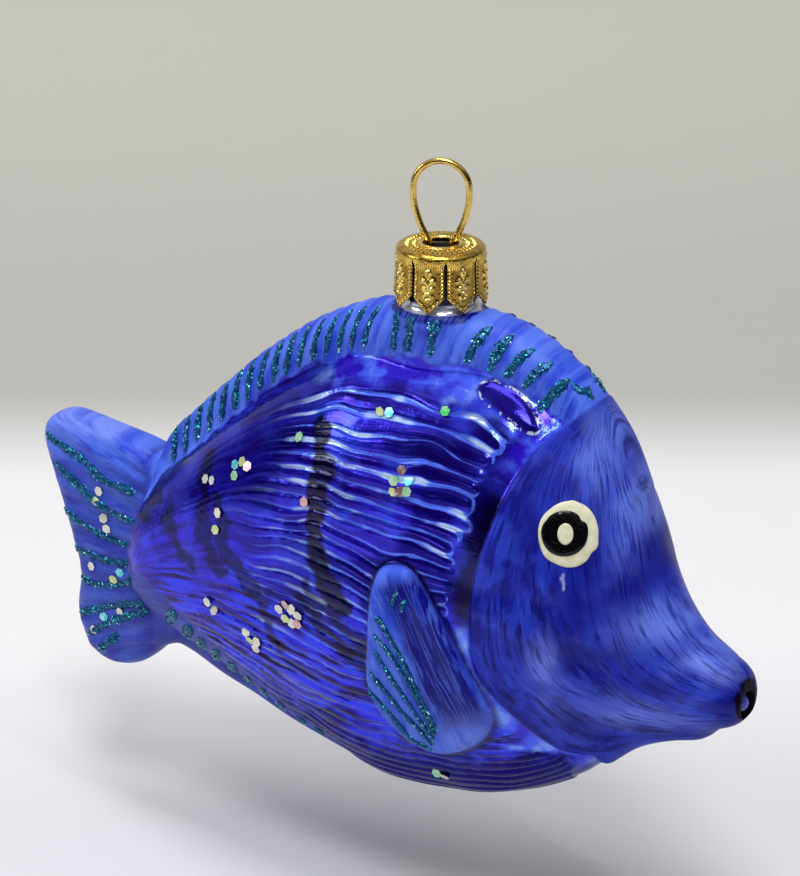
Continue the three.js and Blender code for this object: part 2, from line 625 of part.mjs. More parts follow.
// The hanger: one wire from the end of a leg, round the loop and back down the other leg
function hangerWire() {
  const bend = (LOOP_WIDTH - WIRE_DIAMETER) / 2;
  const middleZ = WIRE_DIAMETER / 2 - bend;
  const strand = STRAND_SPACING / 2;
  const leg = boreRadius - WIRE_CLEARANCE - WIRE_DIAMETER / 2;
  const legEndZ = capTopZ - LEG_REACH;
  const half = [
    [leg, legEndZ],
    [leg, capTopZ - LEG_REACH * 0.45],
    [leg * 0.93, capTopZ - LEG_REACH * 0.27],
    [(leg + strand) / 2, capTopZ - LEG_REACH * 0.15],
    [strand, capTopZ - CAP_SHEET * 1.2],
    [strand, capTopZ + CAP_SHEET * 0.6],
    [bend * 0.77, capTopZ + (middleZ - capTopZ) * 0.36],
    [bend * 0.97, capTopZ + (middleZ - capTopZ) * 0.70],
  ];
  const arc = Array.from({ length: LOOP_ARC_POINTS }, (_, k) => {
    const angle = (Math.PI * k) / (LOOP_ARC_POINTS - 1);
    return [bend * Math.cos(angle), middleZ + bend * Math.sin(angle)];
  });
  const other = half.map(([u, z]) => [-u, z]).reverse();
  const path = new THREE.CatmullRomCurve3(
    [...half, ...arc, ...other].map(([u, z]) => new THREE.Vector3(u, 0, z)),
    false,
    'centripetal',
  );
  const section = new THREE.Shape(Array.from({ length: WIRE_SIDES }, (_, k) => {
    const angle = (2 * Math.PI * k) / WIRE_SIDES;
    return new THREE.Vector2(Math.cos(angle), Math.sin(angle)).multiplyScalar(WIRE_DIAMETER / 2);
  }));
  return new THREE.ExtrudeGeometry(section, {
    steps: WIRE_STEPS,
    bevelEnabled: false,
    extrudePath: path,
  });
}

// A ray of the back fin, from near the ridge down to the flank
function backRay([upper, lower], side) {
  const top = [lengthwise(upper), lineZ('crest', lengthwise(upper)) - RAY_TOP_DROP];
  const foot = [lengthwise(lower), lineZ('crest', lengthwise(lower)) - RAY_FOOT_DROP];
  const path = Array.from({ length: RAY_POINTS }, (_, i) => {
    const t = i / (RAY_POINTS - 1);
    const eased = t * (0.55 + 0.45 * t);
    return [THREE.MathUtils.lerp(top[0], foot[0], t), THREE.MathUtils.lerp(top[1], foot[1], eased)];
  });
  return beadOnSide(path, RAY_WIDTH, RAY_HEIGHT, skinReach, side);
}
function backRays() {
  const rear = Array.from({ length: REAR_RAYS }, (_, i) => {
    const t = i / (REAR_RAYS - 1);
    const upper = THREE.MathUtils.lerp(REAR_RAY_SPAN[0], REAR_RAY_SPAN[1], t);
    return [upper, upper - REAR_RAY_LEAN * t];
  });
  return [...rear, ...NECK_RAYS, ...FRONT_RAYS];
}

// The fan of glitter lines on a side fin, which run together at its lower end
function finRays(side) {
  const lines = FIN_LINE_STARTS.map((start) => {
    const path = Array.from({ length: FIN_RAY_POINTS }, (_, k) => {
      const t = k / (FIN_RAY_POINTS - 1);
      return finPlace(...start.map((share, axis) => THREE.MathUtils.lerp(share, FIN_LINE_END[axis], t)));
    });
    return beadOnSide(path, FIN_RAY_WIDTH, RAY_HEIGHT, finReach, side);
  });
  return geometryOf(joined(lines));
}

// Materials
const blueGlass = { color: 0x1a1fc8, roughness: 0.12, metalness: 0.6 };
const gold = { color: 0xc99a2e, roughness: 0.3, metalness: 1 };
const goldWire = { color: 0xd0a83c, roughness: 0.25, metalness: 1 };
const creamEnamel = { color: 0xe9e8cf, roughness: 0.35, metalness: 0 };
const blackEnamel = { color: 0x08080c, roughness: 0.25, metalness: 0 };
const tealGlitter = { color: 0x0a7f96, roughness: 0.35, metalness: 0.7 };

function piece(name, geometry, finish) {
  const mesh = new THREE.Mesh(geometry, new THREE.MeshStandardMaterial(finish));
  mesh.name = name;
  return mesh;
}

const ornament = new THREE.Group();
ornament.add(piece('glass_body', glassBody(), blueGlass));

const cap = piece('crown_cap', crownCap(), gold);
cap.rotation.z = radians(PETAL_TURN + 180 / PETALS);
ornament.add(cap);

const hanger = piece('hanger_wire', hangerWire(), goldWire);
hanger.rotation.z = radians(LOOP_TURN);
ornament.add(hanger);

const eyeMiddle = [lengthwise(EYE_PLACE[0]), downFromBack(EYE_PLACE[1])];
const shrunk = (size, gap) => size.map((s) => s - 2 * gap);
const eye = [EYE_WIDTH, EYE_HEIGHT];
const pupil = [PUPIL_WIDTH, PUPIL_HEIGHT];
const glint = [GLINT_WIDTH, GLINT_HEIGHT];
for (const [sideName, side] of [['right', -1], ['left', 1]]) {
  ornament.add(piece(`eye_white_${sideName}`, enamelOnHead(eyeMiddle, eye, pupil, side), creamEnamel));
  const black = enamelOnHead(eyeMiddle, shrunk(pupil, PAINT_GAP), glint, side);
  ornament.add(piece(`eye_black_${sideName}`, black, blackEnamel));
  const dot = enamelOnHead(eyeMiddle, shrunk(glint, PAINT_GAP), null, side);
  ornament.add(piece(`eye_glint_${sideName}`, dot, creamEnamel));
  ornament.add(piece(`fin_glitter_${sideName}`, finRays(side), tealGlitter));
  backRays().forEach((ray, i) => {
    const number = String(i + 1).padStart(2, '0');
    ornament.add(piece(`back_ray_${sideName}_${number}`, backRay(ray, side), tealGlitter));
  });
}

export default ornament;
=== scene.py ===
# A hanging glass ornament in the shape of a reef fish: silvered, lacquered and painted glass with
# beads of glitter glue, foil confetti, enamel eyes, a stamped gold cap and a spring wire.
#
# Sizes and places are millimetres, and mesh_object() turns them into metres. The origin is the hang
# point inside the top of the wire loop, +X points to the snout, +Y to the fish's left, +Z up.

import math
from math import cos, pi, sin
from types import SimpleNamespace

import bpy
import numpy as np
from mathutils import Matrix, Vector
from mathutils.bvhtree import BVHTree


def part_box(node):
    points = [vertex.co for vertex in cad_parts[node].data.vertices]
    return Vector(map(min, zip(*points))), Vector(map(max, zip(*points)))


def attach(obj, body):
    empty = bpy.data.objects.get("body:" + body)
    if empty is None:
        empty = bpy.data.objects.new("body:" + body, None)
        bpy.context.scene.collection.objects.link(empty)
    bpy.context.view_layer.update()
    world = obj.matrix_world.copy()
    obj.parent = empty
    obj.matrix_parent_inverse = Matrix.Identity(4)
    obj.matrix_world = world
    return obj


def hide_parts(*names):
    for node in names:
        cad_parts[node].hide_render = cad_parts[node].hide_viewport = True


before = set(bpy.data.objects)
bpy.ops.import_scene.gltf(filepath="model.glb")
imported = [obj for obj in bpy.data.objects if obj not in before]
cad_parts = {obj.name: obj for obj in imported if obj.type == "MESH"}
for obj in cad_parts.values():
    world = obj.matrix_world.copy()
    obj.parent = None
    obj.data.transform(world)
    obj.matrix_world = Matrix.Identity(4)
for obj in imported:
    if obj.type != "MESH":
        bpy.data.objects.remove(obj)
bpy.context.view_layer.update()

MM = 0.001


def box_mm(node):
    return [np.array(corner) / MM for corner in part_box(node)]


# Heights that the frame gives
HOLE_RIM_HEIGHT = 0.3
CLEARANCE = 0.3
cap_low, cap_high = box_mm("crown_cap")
cap_top_z = cap_high[2] - HOLE_RIM_HEIGHT
tip_z = cap_low[2]
back_z = tip_z - CLEARANCE
rim_z = box_mm("glass_body")[1][2]

# Glass shell
GLASS_WALL = 1.2
BODY_LENGTH = 107.0
BODY_DEPTH = 80.4
BODY_THICKNESS = 34.0
HEAD_STEP = 0.8
CREST_THICKNESS = 8.6
CREST_NECK_THICKNESS = 12.8
CREST_SWELL = 18.0
KEEL_THICKNESS = 6.0
COLLAR_DIAMETER = 13.8
COLLAR_HEIGHT = 3.2
NECK_ROOT = 10.5
TAIL_LENGTH = 23.6
TAIL_SPAN = 43.2
TAIL_OVERLAP = 3.5
TAIL_THICKNESS = 9.0
TAIL_EDGE_RADIUS = 3.2
TAIL_EDGE_THICKNESS = 7.0
FIN_LENGTH = 31.0
FIN_WIDTH = 16.0
FIN_LEAN = math.radians(22)
FIN_RISE = 2.2
NUB_RADIUS = 1.4           # sealed tip of the glass in the mouth
MOUTH_RADIUS = 2.3
MOUTH_DEPTH = 1.1

# Relief on the glass
RIBS = 36                  # lengthwise ribs on a flank
RIB_HEIGHT = 0.42
RIB_TOP_DROP = 8.0         # from the ridge of the back fin down to the line that the ribs follow
RIB_END_GAP = 2.0          # least distance from the end of a rib to the gill edge
RIB_END_SPREAD = 3.4
RIB_WAVE = 1.1             # long and short waves of the ribs, in ribs
RIB_RIPPLE = 0.8
RIB_TILT = 0.12            # how far the ribs lean down to the front, as a share of the depth
FLUTE_PITCH = 2.6          # moulded rays of the back fin
FLUTE_HEIGHT = 0.08
TAIL_FLUTES = 4
TAIL_FLUTE_HEIGHT = 0.2
FIN_FLUTES = 6
FIN_FLUTE_HEIGHT = 0.1
UNEVENNESS = 0.22
SKIN_VOXEL = 0.40
INNER_VOXEL = 1.3
SOFTENINGS = 7

# Crown cap
PETALS = 8
PETAL_TURN = math.radians(15)
CAP_TOP_RADIUS = 5.55
CAP_UPPER_RADIUS = 6.65
CAP_LOWER_RADIUS = 7.05
CAP_SHOULDER = 0.75
CAP_SHEET = 0.35
PETAL_POINT = 2.3
PETAL_CROWN = 0.24
SLOT_WIDTH = 0.3
SLOT_START = 1.1
NECK_RADIUS = CAP_UPPER_RADIUS - 1.0

# Hanger wire
WIRE_DIAMETER = 1.0
LOOP_WIDTH = 9.25
STRAND_SPACING = 3.65
LOOP_TURN = math.radians(22)
LEG_REACH = 14.5
HOLE_RADIUS = STRAND_SPACING / 2 + WIRE_DIAMETER / 2 + CLEARANCE

# Glitter, confetti and enamel
REAR_RAYS = 16
REAR_RAY_WIDTH = 1.15
FRONT_RAY_WIDTH = 1.6
RAY_HEIGHT = 0.36
RAY_TOP_DROP = 0.6
RAY_FOOT_DROP = 6.3
FIN_RAY_WIDTH = 0.85
TAIL_RAY_WIDTH = 1.45
BELLY_RAY_WIDTH = 2.0
BEAD_STEP = 0.5
BEAD_SUNK = 0.15
GRAIN_SIZE = 0.46
GRAINS_PER_MM2 = 10.0
GRAIN_TILT = 0.42
FLAKE_SIZE = 1.65
FLAKE_THICKNESS = 0.06
FLAKE_TILT = 0.10
FLAKE_LIFT = 0.24
EYE_SIZE = (7.7, 9.1)
PUPIL_SIZE = (6.0, 6.3)
DOT_SIZE = (2.05, 3.0)
EYE_SLANT = 0.14

# Outlines as shares of the body's length, forward from the neck axis, and of its depth, down
CREST_LINE = [
    [-0.485, 0.452], [-0.459, 0.380], [-0.421, 0.326], [-0.348, 0.235], [-0.293, 0.168],
    [-0.241, 0.116], [-0.190, 0.072], [-0.139, 0.037], [-0.090, 0.013], [0, 0], [0.072, 0.002],
    [0.120, 0.012], [0.167, 0.035], [0.214, 0.073], [0.255, 0.122], [0.290, 0.181], [0.322, 0.273],
]
BODY_TOP = [
    [-0.514, 0.597], [-0.505, 0.548], [-0.491, 0.498], [-0.439, 0.423], [-0.336, 0.299],
    [-0.215, 0.180], [-0.075, 0.090], [0.056, 0.085], [0.131, 0.095], [0.196, 0.120],
    [0.262, 0.168], [0.303, 0.221], [0.324, 0.283], [0.337, 0.350], [0.357, 0.419],
    [0.387, 0.487], [0.420, 0.538], [0.452, 0.568], [0.478, 0.602], [0.492, 0.645],
]
BODY_BOTTOM = [
    [-0.514, 0.690], [-0.505, 0.735], [-0.486, 0.765], [-0.421, 0.806], [-0.318, 0.858],
    [-0.178, 0.938], [-0.037, 0.984], [0.075, 0.971], [0.178, 0.929], [0.252, 0.874],
    [0.299, 0.818], [0.332, 0.782], [0.363, 0.760], [0.391, 0.745], [0.417, 0.732],
    [0.441, 0.719], [0.462, 0.706], [0.480, 0.689], [0.492, 0.662],
]
KEEL_LINE = [
    [-0.490, 0.800], [-0.467, 0.836], [-0.426, 0.853], [-0.371, 0.884], [-0.317, 0.907],
    [-0.263, 0.934], [-0.191, 0.962], [-0.122, 0.982], [-0.049, 0.992], [0, 0.984],
]
GILL_EDGE = [
    [0.262, 0.115], [0.243, 0.143], [0.209, 0.183], [0.184, 0.248], [0.167, 0.320],
    [0.152, 0.403], [0.144, 0.485], [0.143, 0.566], [0.154, 0.627], [0.178, 0.675],
    [0.207, 0.719], [0.234, 0.757], [0.256, 0.782], [0.286, 0.792],
]
PLAN = [
    [-0.514, 0.11], [-0.509, 0.19], [-0.495, 0.26], [-0.460, 0.31], [-0.421, 0.34],
    [-0.327, 0.40], [-0.187, 0.46], [-0.047, 0.50], [0.075, 0.50], [0.168, 0.465],
    [0.243, 0.395], [0.308, 0.310], [0.350, 0.250], [0.390, 0.202], [0.430, 0.165],
    [0.458, 0.140], [0.478, 0.110], [0.492, 0.045],
]
UPPER_SQUARENESS = [[-0.514, 2.1], [0.120, 2.1], [0.300, 1.55], [0.420, 1.7], [0.492, 2.1]]
LOWER_SQUARENESS = 2.1
# Shares of the tail's length, back from its root, and of its span, down from its upper tip
TAIL_OUTLINE = [
    [-0.30, 0.16], [0.02, 0.07], [0.28, 0.04], [0.60, 0.01], [0.79, 0.00], [0.93, 0.035],
    [0.98, 0.11], [0.90, 0.26], [0.81, 0.41], [0.725, 0.56], [0.70, 0.64], [0.735, 0.79],
    [0.665, 0.915], [0.54, 0.975], [0.36, 0.985], [0.18, 0.95], [0.02, 0.87], [-0.30, 0.72],
]
TAIL_LINES = [
    [[0.92, 0.09], [0.71, 0.13], [0.56, 0.16], [0.39, 0.21], [0.12, 0.23]],
    [[0.85, 0.20], [0.67, 0.25], [0.53, 0.29], [0.36, 0.33], [0.15, 0.35]],
    [[0.78, 0.38], [0.45, 0.44], [0.13, 0.46]], [[0.71, 0.53], [0.37, 0.54], [0.11, 0.51]],
    [[0.66, 0.65], [0.44, 0.65], [0.11, 0.58]], [[0.68, 0.80], [0.44, 0.74], [0.08, 0.67]],
    [[0.62, 0.88], [0.31, 0.77], [0.05, 0.70]], [[0.51, 0.93], [0.32, 0.84]],
]
# Shares of a side fin's length, down from its root, and of its width, to the front
FIN_OUTLINE = [
    [0.00, 0.06], [0.03, 0.25], [0.12, 0.35], [0.28, 0.43], [0.55, 0.49], [0.80, 0.53],
    [0.92, 0.40], [0.99, 0.14], [1.01, -0.20], [0.93, -0.46], [0.80, -0.61], [0.66, -0.66],
    [0.52, -0.60], [0.34, -0.42], [0.15, -0.24], [0.03, -0.08],
]
FIN_LINES = [
    [[0.22, -0.18], [0.45, -0.08], [0.85, -0.05]], [[0.31, -0.26], [0.57, -0.12], [0.88, -0.10]],
    [[0.39, -0.345], [0.63, -0.25], [0.90, -0.14]], [[0.49, -0.49], [0.70, -0.36], [0.93, -0.18]],
    [[0.57, -0.62], [0.74, -0.48], [0.86, -0.42], [0.96, -0.24]],
    [[0.12, 0.15], [0.18, 0.02]], [[0.165, 0.20], [0.22, 0.11]],
]
# The smooth leaf at the upper front end of the ribs, and the upper border of the belly fin's paint
LEAF = [
    [10.4, -30.6], [11.8, -29.6], [13.9, -29.9], [16.1, -30.6], [18.5, -32.0], [20.2, -33.7], [20.8, -35.1],
    [19.3, -35.0], [17.0, -33.9], [14.6, -32.8], [12.4, -31.9],
]
KEEL_BORDER = [
    [-50, -73], [-44, -75.5], [-37.3, -79.7], [-30.2, -83.3], [-23.6, -88.0], [-15.2, -92.5], [-8, -99],
]
EYE_PLACE = [0.262, 0.338]
FIN_ROOT = [0.006, 0.450]
TAIL_TOP = 0.388

# Rays of the back fin: shares of the length at the upper and the lower end
NECK_RAYS = [[-0.040, -0.042], [-0.008, -0.020], [0.029, 0.017]]
FRONT_RAYS = [[0.098, 0.073], [0.130, 0.108], [0.164, 0.132], [0.192, 0.159]]
REAR_RAY_SPAN = [-0.440, -0.081]
REAR_RAY_LEAN = 0.014
CHEVRON = [[[23.4, -27.9], [22.0, -29.6], [19.8, -32.6]], [[24.6, -27.9], [25.6, -29.2], [26.8, -30.6]]]

random = np.random.default_rng(21)


# Curves and noise


def curve_through(points):
    """A smooth curve through points in rising order, which never overshoots them."""
    xs, ys = np.array(points, float).T
    secants = np.diff(ys) / np.diff(xs)
    product = secants[:-1] * secants[1:]
    total = secants[:-1] + secants[1:]
    inner = np.where(product > 0, 2 * product / np.where(total == 0, 1, total), 0)
    slopes = np.concatenate([secants[:1], inner, secants[-1:]])

    def curve(x):
        at = np.clip(x, xs[0], xs[-1])
        i = np.clip(np.searchsorted(xs, at, side="right") - 1, 0, len(xs) - 2)
        span = xs[i + 1] - xs[i]
        t = (at - xs[i]) / span
        straight = (2 * t - 3) * t * t * (ys[i] - ys[i + 1]) + ys[i]
        return straight + t * (1 - t) * span * ((1 - t) * slopes[i] - t * slopes[i + 1])

    return curve


def rounded(points, count, closed):
    """Points along a Catmull-Rom curve through the given points."""
    given = np.asarray(points, float)
    total = len(given)
    spans = total if closed else total - 1
    places = []
    for u in np.linspace(0, spans, count, endpoint=not closed):
        i = min(int(u), spans - 1)
        t = u - i
        around = [(i + k) % total if closed else min(max(i + k, 0), total - 1) for k in (-1, 0, 1, 2)]
        p0, p1, p2, p3 = given[around]
        cubic = 2 * p1 + (p2 - p0) * t + (2 * p0 - 5 * p1 + 4 * p2 - p3) * t**2
        places.append(0.5 * (cubic + (3 * p1 - p0 - 3 * p2 + p3) * t**3))
    return np.array(places)


def ease(low, high, value):
    """From 0 to 1, softly, as the value goes from low to high; low may be the greater."""
    t = np.clip((value - low) / (high - low), 0, 1)
    return t * t * (3 - 2 * t)


LATTICE = 32
lattice = np.random.default_rng(5).random((LATTICE, LATTICE, LATTICE))


def noise(x, y, z=0.0):
    """Smooth noise from 0 to 1, one lump to a unit."""
    x, y, z = np.broadcast_arrays(x, y, z)
    cell = [np.floor(axis).astype(int) for axis in (x, y, z)]
    part = [axis - whole for axis, whole in zip((x, y, z), cell)]
    eased = [t * t * (3 - 2 * t) for t in part]
    total = 0
    for corner in range(8):
        bits = [(corner >> k) & 1 for k in range(3)]
        weight = 1
        for t, bit in zip(eased, bits):
            weight = weight * (t if bit else 1 - t)
        index = tuple((whole + bit) % LATTICE for whole, bit in zip(cell, bits))
        total = total + weight * lattice[index]
    return total


def full_turn(count):
    return np.linspace(0, 2 * pi, count, endpoint=False)


def unit(vectors):
    return vectors / np.linalg.norm(vectors, axis=-1, keepdims=True)


# Form of the fish


def lengthwise(share):
    return share * BODY_LENGTH


def down_from_back(share):
    return back_z - share * BODY_DEPTH


shares = {
    "crest": curve_through(CREST_LINE),
    "top": curve_through(BODY_TOP),
    "bottom": curve_through(BODY_BOTTOM),
    "keel": curve_through(KEEL_LINE),
    "plan": curve_through(PLAN),
    "squareness": curve_through(UPPER_SQUARENESS),
}


def line_z(name, x):
    return down_from_back(shares[name](x / BODY_LENGTH))


def oval(top, bottom, half, upper, lower):
    middle, rise = (top + bottom) / 2, (top - bottom) / 2
    return {"mid": middle, "rise": rise, "half": half, "upper": upper, "lower": lower}


def body_section(x):
    half = shares["plan"](x / BODY_LENGTH) * BODY_THICKNESS
    upper = shares["squareness"](x / BODY_LENGTH)
    return oval(line_z("top", x), line_z("bottom", x), half, upper, LOWER_SQUARENESS)


def grown(section, growth):
    rise = np.maximum(section["rise"] + growth, GLASS_WALL / 2)
    half = np.maximum(section["half"] + growth, GLASS_WALL / 4)
    return {**section, "rise": rise, "half": half}


def ends_of(line):
    return [lengthwise(line[0][0]), lengthwise(line[-1][0])]


body_ends = ends_of(BODY_TOP)
crest_ends = ends_of(CREST_LINE)
keel_ends = ends_of(KEEL_LINE)
snout_x = body_ends[1]
snout_z = (line_z("top", snout_x) + line_z("bottom", snout_x)) / 2
crest_half = curve_through([
    [crest_ends[0], CREST_THICKNESS * 0.33],
    [crest_ends[0] * 0.8, CREST_THICKNESS * 0.47],
    [-CREST_SWELL, CREST_THICKNESS / 2],
    [-CREST_SWELL / 2, (CREST_THICKNESS + CREST_NECK_THICKNESS) / 4],
    [0, CREST_NECK_THICKNESS / 2],
    [CREST_SWELL / 2, (CREST_THICKNESS + CREST_NECK_THICKNESS) / 4],
    [CREST_SWELL, CREST_THICKNESS * 0.55],
    [crest_ends[1], CREST_THICKNESS * 0.45],
])


def crest_section(x):
    return oval(line_z("crest", x), line_z("top", x) - CREST_THICKNESS * 0.6, crest_half(x), 2.5, 2.5)


def keel_section(x):
    return oval(line_z("bottom", x) + KEEL_THICKNESS, line_z("keel", x), KEEL_THICKNESS / 2, 2.3, 2.3)


def oval_reach(section, z):
    """Half the thickness of an oval at a height, 0 above and below it."""
    t = (z - section["mid"]) / section["rise"]
    power = np.where(t > 0, section["upper"], section["lower"])
    inside = np.clip(1 - np.abs(t) ** power, 0, None)
    return section["half"] * inside ** (1 / power)


collar_radius = COLLAR_DIAMETER / 2
collar_top_z = tip_z - CLEARANCE
neck_root_z = tip_z - NECK_ROOT
bore_radius = NECK_RADIUS - GLASS_WALL
COLLAR_PROFILE = [
    [NECK_RADIUS, neck_root_z],
    [NECK_RADIUS, collar_top_z - COLLAR_HEIGHT * 1.7],
    [collar_radius * 0.92, collar_top_z - COLLAR_HEIGHT * 1.2],
    [collar_radius, collar_top_z - COLLAR_HEIGHT * 0.7],
    [collar_radius, collar_top_z - COLLAR_HEIGHT * 0.35],
    [collar_radius * 0.7 + NECK_RADIUS * 0.3, collar_top_z - COLLAR_HEIGHT * 0.08],
    [NECK_RADIUS, collar_top_z],
    [NECK_RADIUS, rim_z],
]

gill_x = curve_through([[down_from_back(down), lengthwise(along)] for along, down in reversed(GILL_EDGE)])


def behind_gill(x, z):
    """Distance behind the gill edge, negative on the head."""
    step = 0.5
    slope = (gill_x(z + step) - gill_x(z - step)) / (2 * step)
    return (gill_x(z) - x) / np.sqrt(1 + slope**2)


fin_middle = [lengthwise(FIN_ROOT[0]), down_from_back(FIN_ROOT[1])]


def fin_place(down, forward):
    along = down * FIN_LENGTH
    across = forward * FIN_WIDTH
    x = fin_middle[0] + along * sin(FIN_LEAN) + across * cos(FIN_LEAN)
    z = fin_middle[1] - along * cos(FIN_LEAN) + across * sin(FIN_LEAN)
    return x, z


def fin_shares(x, z):
    """The way back from a place to its shares of the side fin's length and width."""
    dx = x - fin_middle[0]
    dz = z - fin_middle[1]
    down = (dx * sin(FIN_LEAN) - dz * cos(FIN_LEAN)) / FIN_LENGTH
    forward = (dx * cos(FIN_LEAN) + dz * sin(FIN_LEAN)) / FIN_WIDTH
    return down, forward


tail_root_x = body_ends[0] + TAIL_OVERLAP
tail_top_z = down_from_back(TAIL_TOP)
tail_middle_z = tail_top_z - TAIL_SPAN / 2


def tail_place(back, down):
    return tail_root_x - back * TAIL_LENGTH, tail_top_z - down * TAIL_SPAN


fin_outline = rounded([fin_place(down, forward) for down, forward in FIN_OUTLINE], 64, True)
tail_outline = rounded([tail_place(back, down) for back, down in TAIL_OUTLINE], 110, True)
leaf_outline = rounded(LEAF, 44, True)
keel_border = curve_through(KEEL_BORDER)


def outside(outline, x, z):
    """Distance outside a closed outline, negative inside it."""
    nearest = np.full(np.shape(x), np.inf)
    inside = np.zeros(np.shape(x), bool)
    for a, b in zip(outline, np.roll(outline, -1, axis=0)):
        nearest = np.minimum(nearest, from_line(x, z, a, b))
        rise = b[1] - a[1] if b[1] != a[1] else 1e-9
        inside ^= ((a[1] > z) != (b[1] > z)) & (x < a[0] + (z - a[1]) * (b[0] - a[0]) / rise)
    return np.where(inside, -nearest, nearest)


def from_line(x, z, a, b):
    a, along = np.array(a), np.subtract(b, a)
    t = np.clip(((x - a[0]) * along[0] + (z - a[1]) * along[1]) / (along @ along), 0, 1)
    return np.hypot(x - a[0] - t * along[0], z - a[1] - t * along[1])


# Meshes


def loft(rings):
    """A closed body over rings of points, with a fan at each end."""
    count = len(rings[0])
    total = len(rings)
    vertices = np.concatenate([*rings, [np.mean(rings[0], axis=0)], [np.mean(rings[-1], axis=0)]])
    k = np.arange(count)
    after = (k + 1) % count
    faces = []
    for i in range(total - 1):
        start = i * count
        quads = [start + k, start + after, start + count + after, start + count + k]
        faces += np.stack(quads, axis=1).tolist()
    top, end = (total - 1) * count, total * count
    faces += np.stack([after, k, np.full(count, end)], axis=1).tolist()
    faces += np.stack([top + k, top + after, np.full(count, end + 1)], axis=1).tolist()
    return vertices, faces


def merged(bodies):
    vertices, faces, start = [], [], 0
    for points, polygons in bodies:
        vertices.append(points)
        faces += [[start + i for i in polygon] for polygon in polygons]
        start += len(points)
    return np.concatenate(vertices), faces


def mesh_object(name, vertices, faces, material=None, flat=False):
    mesh = bpy.data.meshes.new(name)
    mesh.from_pydata((np.asarray(vertices) * MM).tolist(), [], faces)
    mesh.update()
    if not flat:
        mesh.shade_smooth()
    if material:
        mesh.materials.append(material)
    made = bpy.data.objects.new(name, mesh)
    bpy.context.scene.collection.objects.link(made)
    return made


def with_modifiers_applied(made):
    depsgraph = bpy.context.evaluated_depsgraph_get()
    mesh = bpy.data.meshes.new_from_object(made.evaluated_get(depsgraph))
    made.modifiers.clear()
    made.data = mesh


def points_of(mesh):
    points = np.empty(len(mesh.vertices) * 3)
    mesh.vertices.foreach_get("co", points)
    return points.reshape(-1, 3) / MM


def normals_of(mesh):
    normals = np.empty(len(mesh.vertices) * 3)
    mesh.vertex_normals.foreach_get("vector", normals)
    return normals.reshape(-1, 3)


def move_points(mesh, points):
    mesh.vertices.foreach_set("co", (points * MM).ravel())
    mesh.update()


def store(mesh, name, values, kind="FLOAT"):
    field = {"FLOAT": "value", "FLOAT_COLOR": "color"}[kind]
    attribute = mesh.attributes.new(name, kind, "POINT")
    attribute.data.foreach_set(field, np.ascontiguousarray(values, dtype=np.float32).ravel())


def melted(name, bodies, voxel, soften):
    """One soft skin over closed bodies that pass through each other."""
    made = mesh_object(name, *merged(bodies))
    remesh = made.modifiers.new("skin", "REMESH")
    remesh.mode = "VOXEL"
    remesh.voxel_size = voxel * MM
    with_modifiers_applied(made)
    mesh = made.data
    points = points_of(mesh)
    edges = np.empty(len(mesh.edges) * 2, dtype=np.int32)
    mesh.edges.foreach_get("vertices", edges)
    one, other = edges.reshape(-1, 2).T
    count = len(points)
    neighbours = np.bincount(one, minlength=count) + np.bincount(other, minlength=count)
    for _ in range(soften):
        for axis in range(3):
            values = points[:, axis]
            total = np.bincount(one, values[other], count) + np.bincount(other, values[one], count)
            points[:, axis] = values + 0.5 * (total / neighbours - values)
    move_points(mesh, points)
    return made


def loft_along(section_at, ends, stations, sides, wall=0.0):
    rings = []
    t = np.linspace(0, 1, stations)
    eased = 0.7 * t + 0.3 * (1 - np.cos(pi * t)) / 2
    angles = full_turn(sides)
    for x in ends[0] + wall + (ends[1] - ends[0] - 2 * wall) * eased:
        section = grown(section_at(x), -wall)
        power = 2 / np.where(np.cos(angles) > 0, section["upper"], section["lower"])
        across = np.sign(np.sin(angles)) * np.abs(np.sin(angles)) ** power
        up = np.sign(np.cos(angles)) * np.abs(np.cos(angles)) ** power
        y = section["half"] * across
        z = section["mid"] + section["rise"] * up
        rings.append(np.stack([np.full(sides, x), y, z], axis=1))
    return loft(rings)


def ring(radius, angles, z):
    return np.stack([radius * np.cos(angles), radius * np.sin(angles), z], axis=1)


def turned(profile, sides):
    """A body of revolution about the neck axis, from [radius, z] points."""
    return loft([ring(r, full_turn(sides), np.full(sides, z)) for r, z in profile])


def tail_form():
    edges = np.roll(tail_outline, -1, axis=0) - np.roll(tail_outline, 1, axis=0)
    inward = unit(np.stack([edges[:, 1], -edges[:, 0]], axis=1))
    if outside(tail_outline, *(tail_outline[:1] + 0.1 * inward[:1]).T)[0] > 0:
        inward = -inward
    flat = TAIL_THICKNESS / 2 - TAIL_EDGE_RADIUS
    rings = []
    for angle in np.linspace(-pi / 2, pi / 2, 14):
        ring = tail_outline + inward * TAIL_EDGE_RADIUS * (1 - cos(angle))
        y = TAIL_EDGE_RADIUS * sin(angle) + math.copysign(flat, angle)
        back = np.clip((tail_root_x - ring[:, 0]) / TAIL_LENGTH, 0, 1)
        taper = 1 + (TAIL_EDGE_THICKNESS / TAIL_THICKNESS - 1) * back
        rings.append(np.stack([ring[:, 0], y * taper, ring[:, 1]], axis=1))
    return loft(rings)


def side_fin_form(side):
    middle = np.array(fin_place(0.55, 0))
    levels = [
        (0.40, -GLASS_WALL), (1.0, -GLASS_WALL), (1.0, FIN_RISE * 0.30), (0.985, FIN_RISE * 0.66),
        (0.955, FIN_RISE * 0.90), (0.90, FIN_RISE), (0.78, FIN_RISE * 0.92), (0.5, FIN_RISE * 0.82),
        (0.25, FIN_RISE * 0.80),
    ]
    rings = []
    for share, height in levels:
        place = middle + (fin_outline - middle) * share
        reach = oval_reach(body_section(place[:, 0]), place[:, 1]) + height
        rings.append(np.stack([place[:, 0], side * reach, place[:, 1]], axis=1))
    return loft(rings)


# The glass


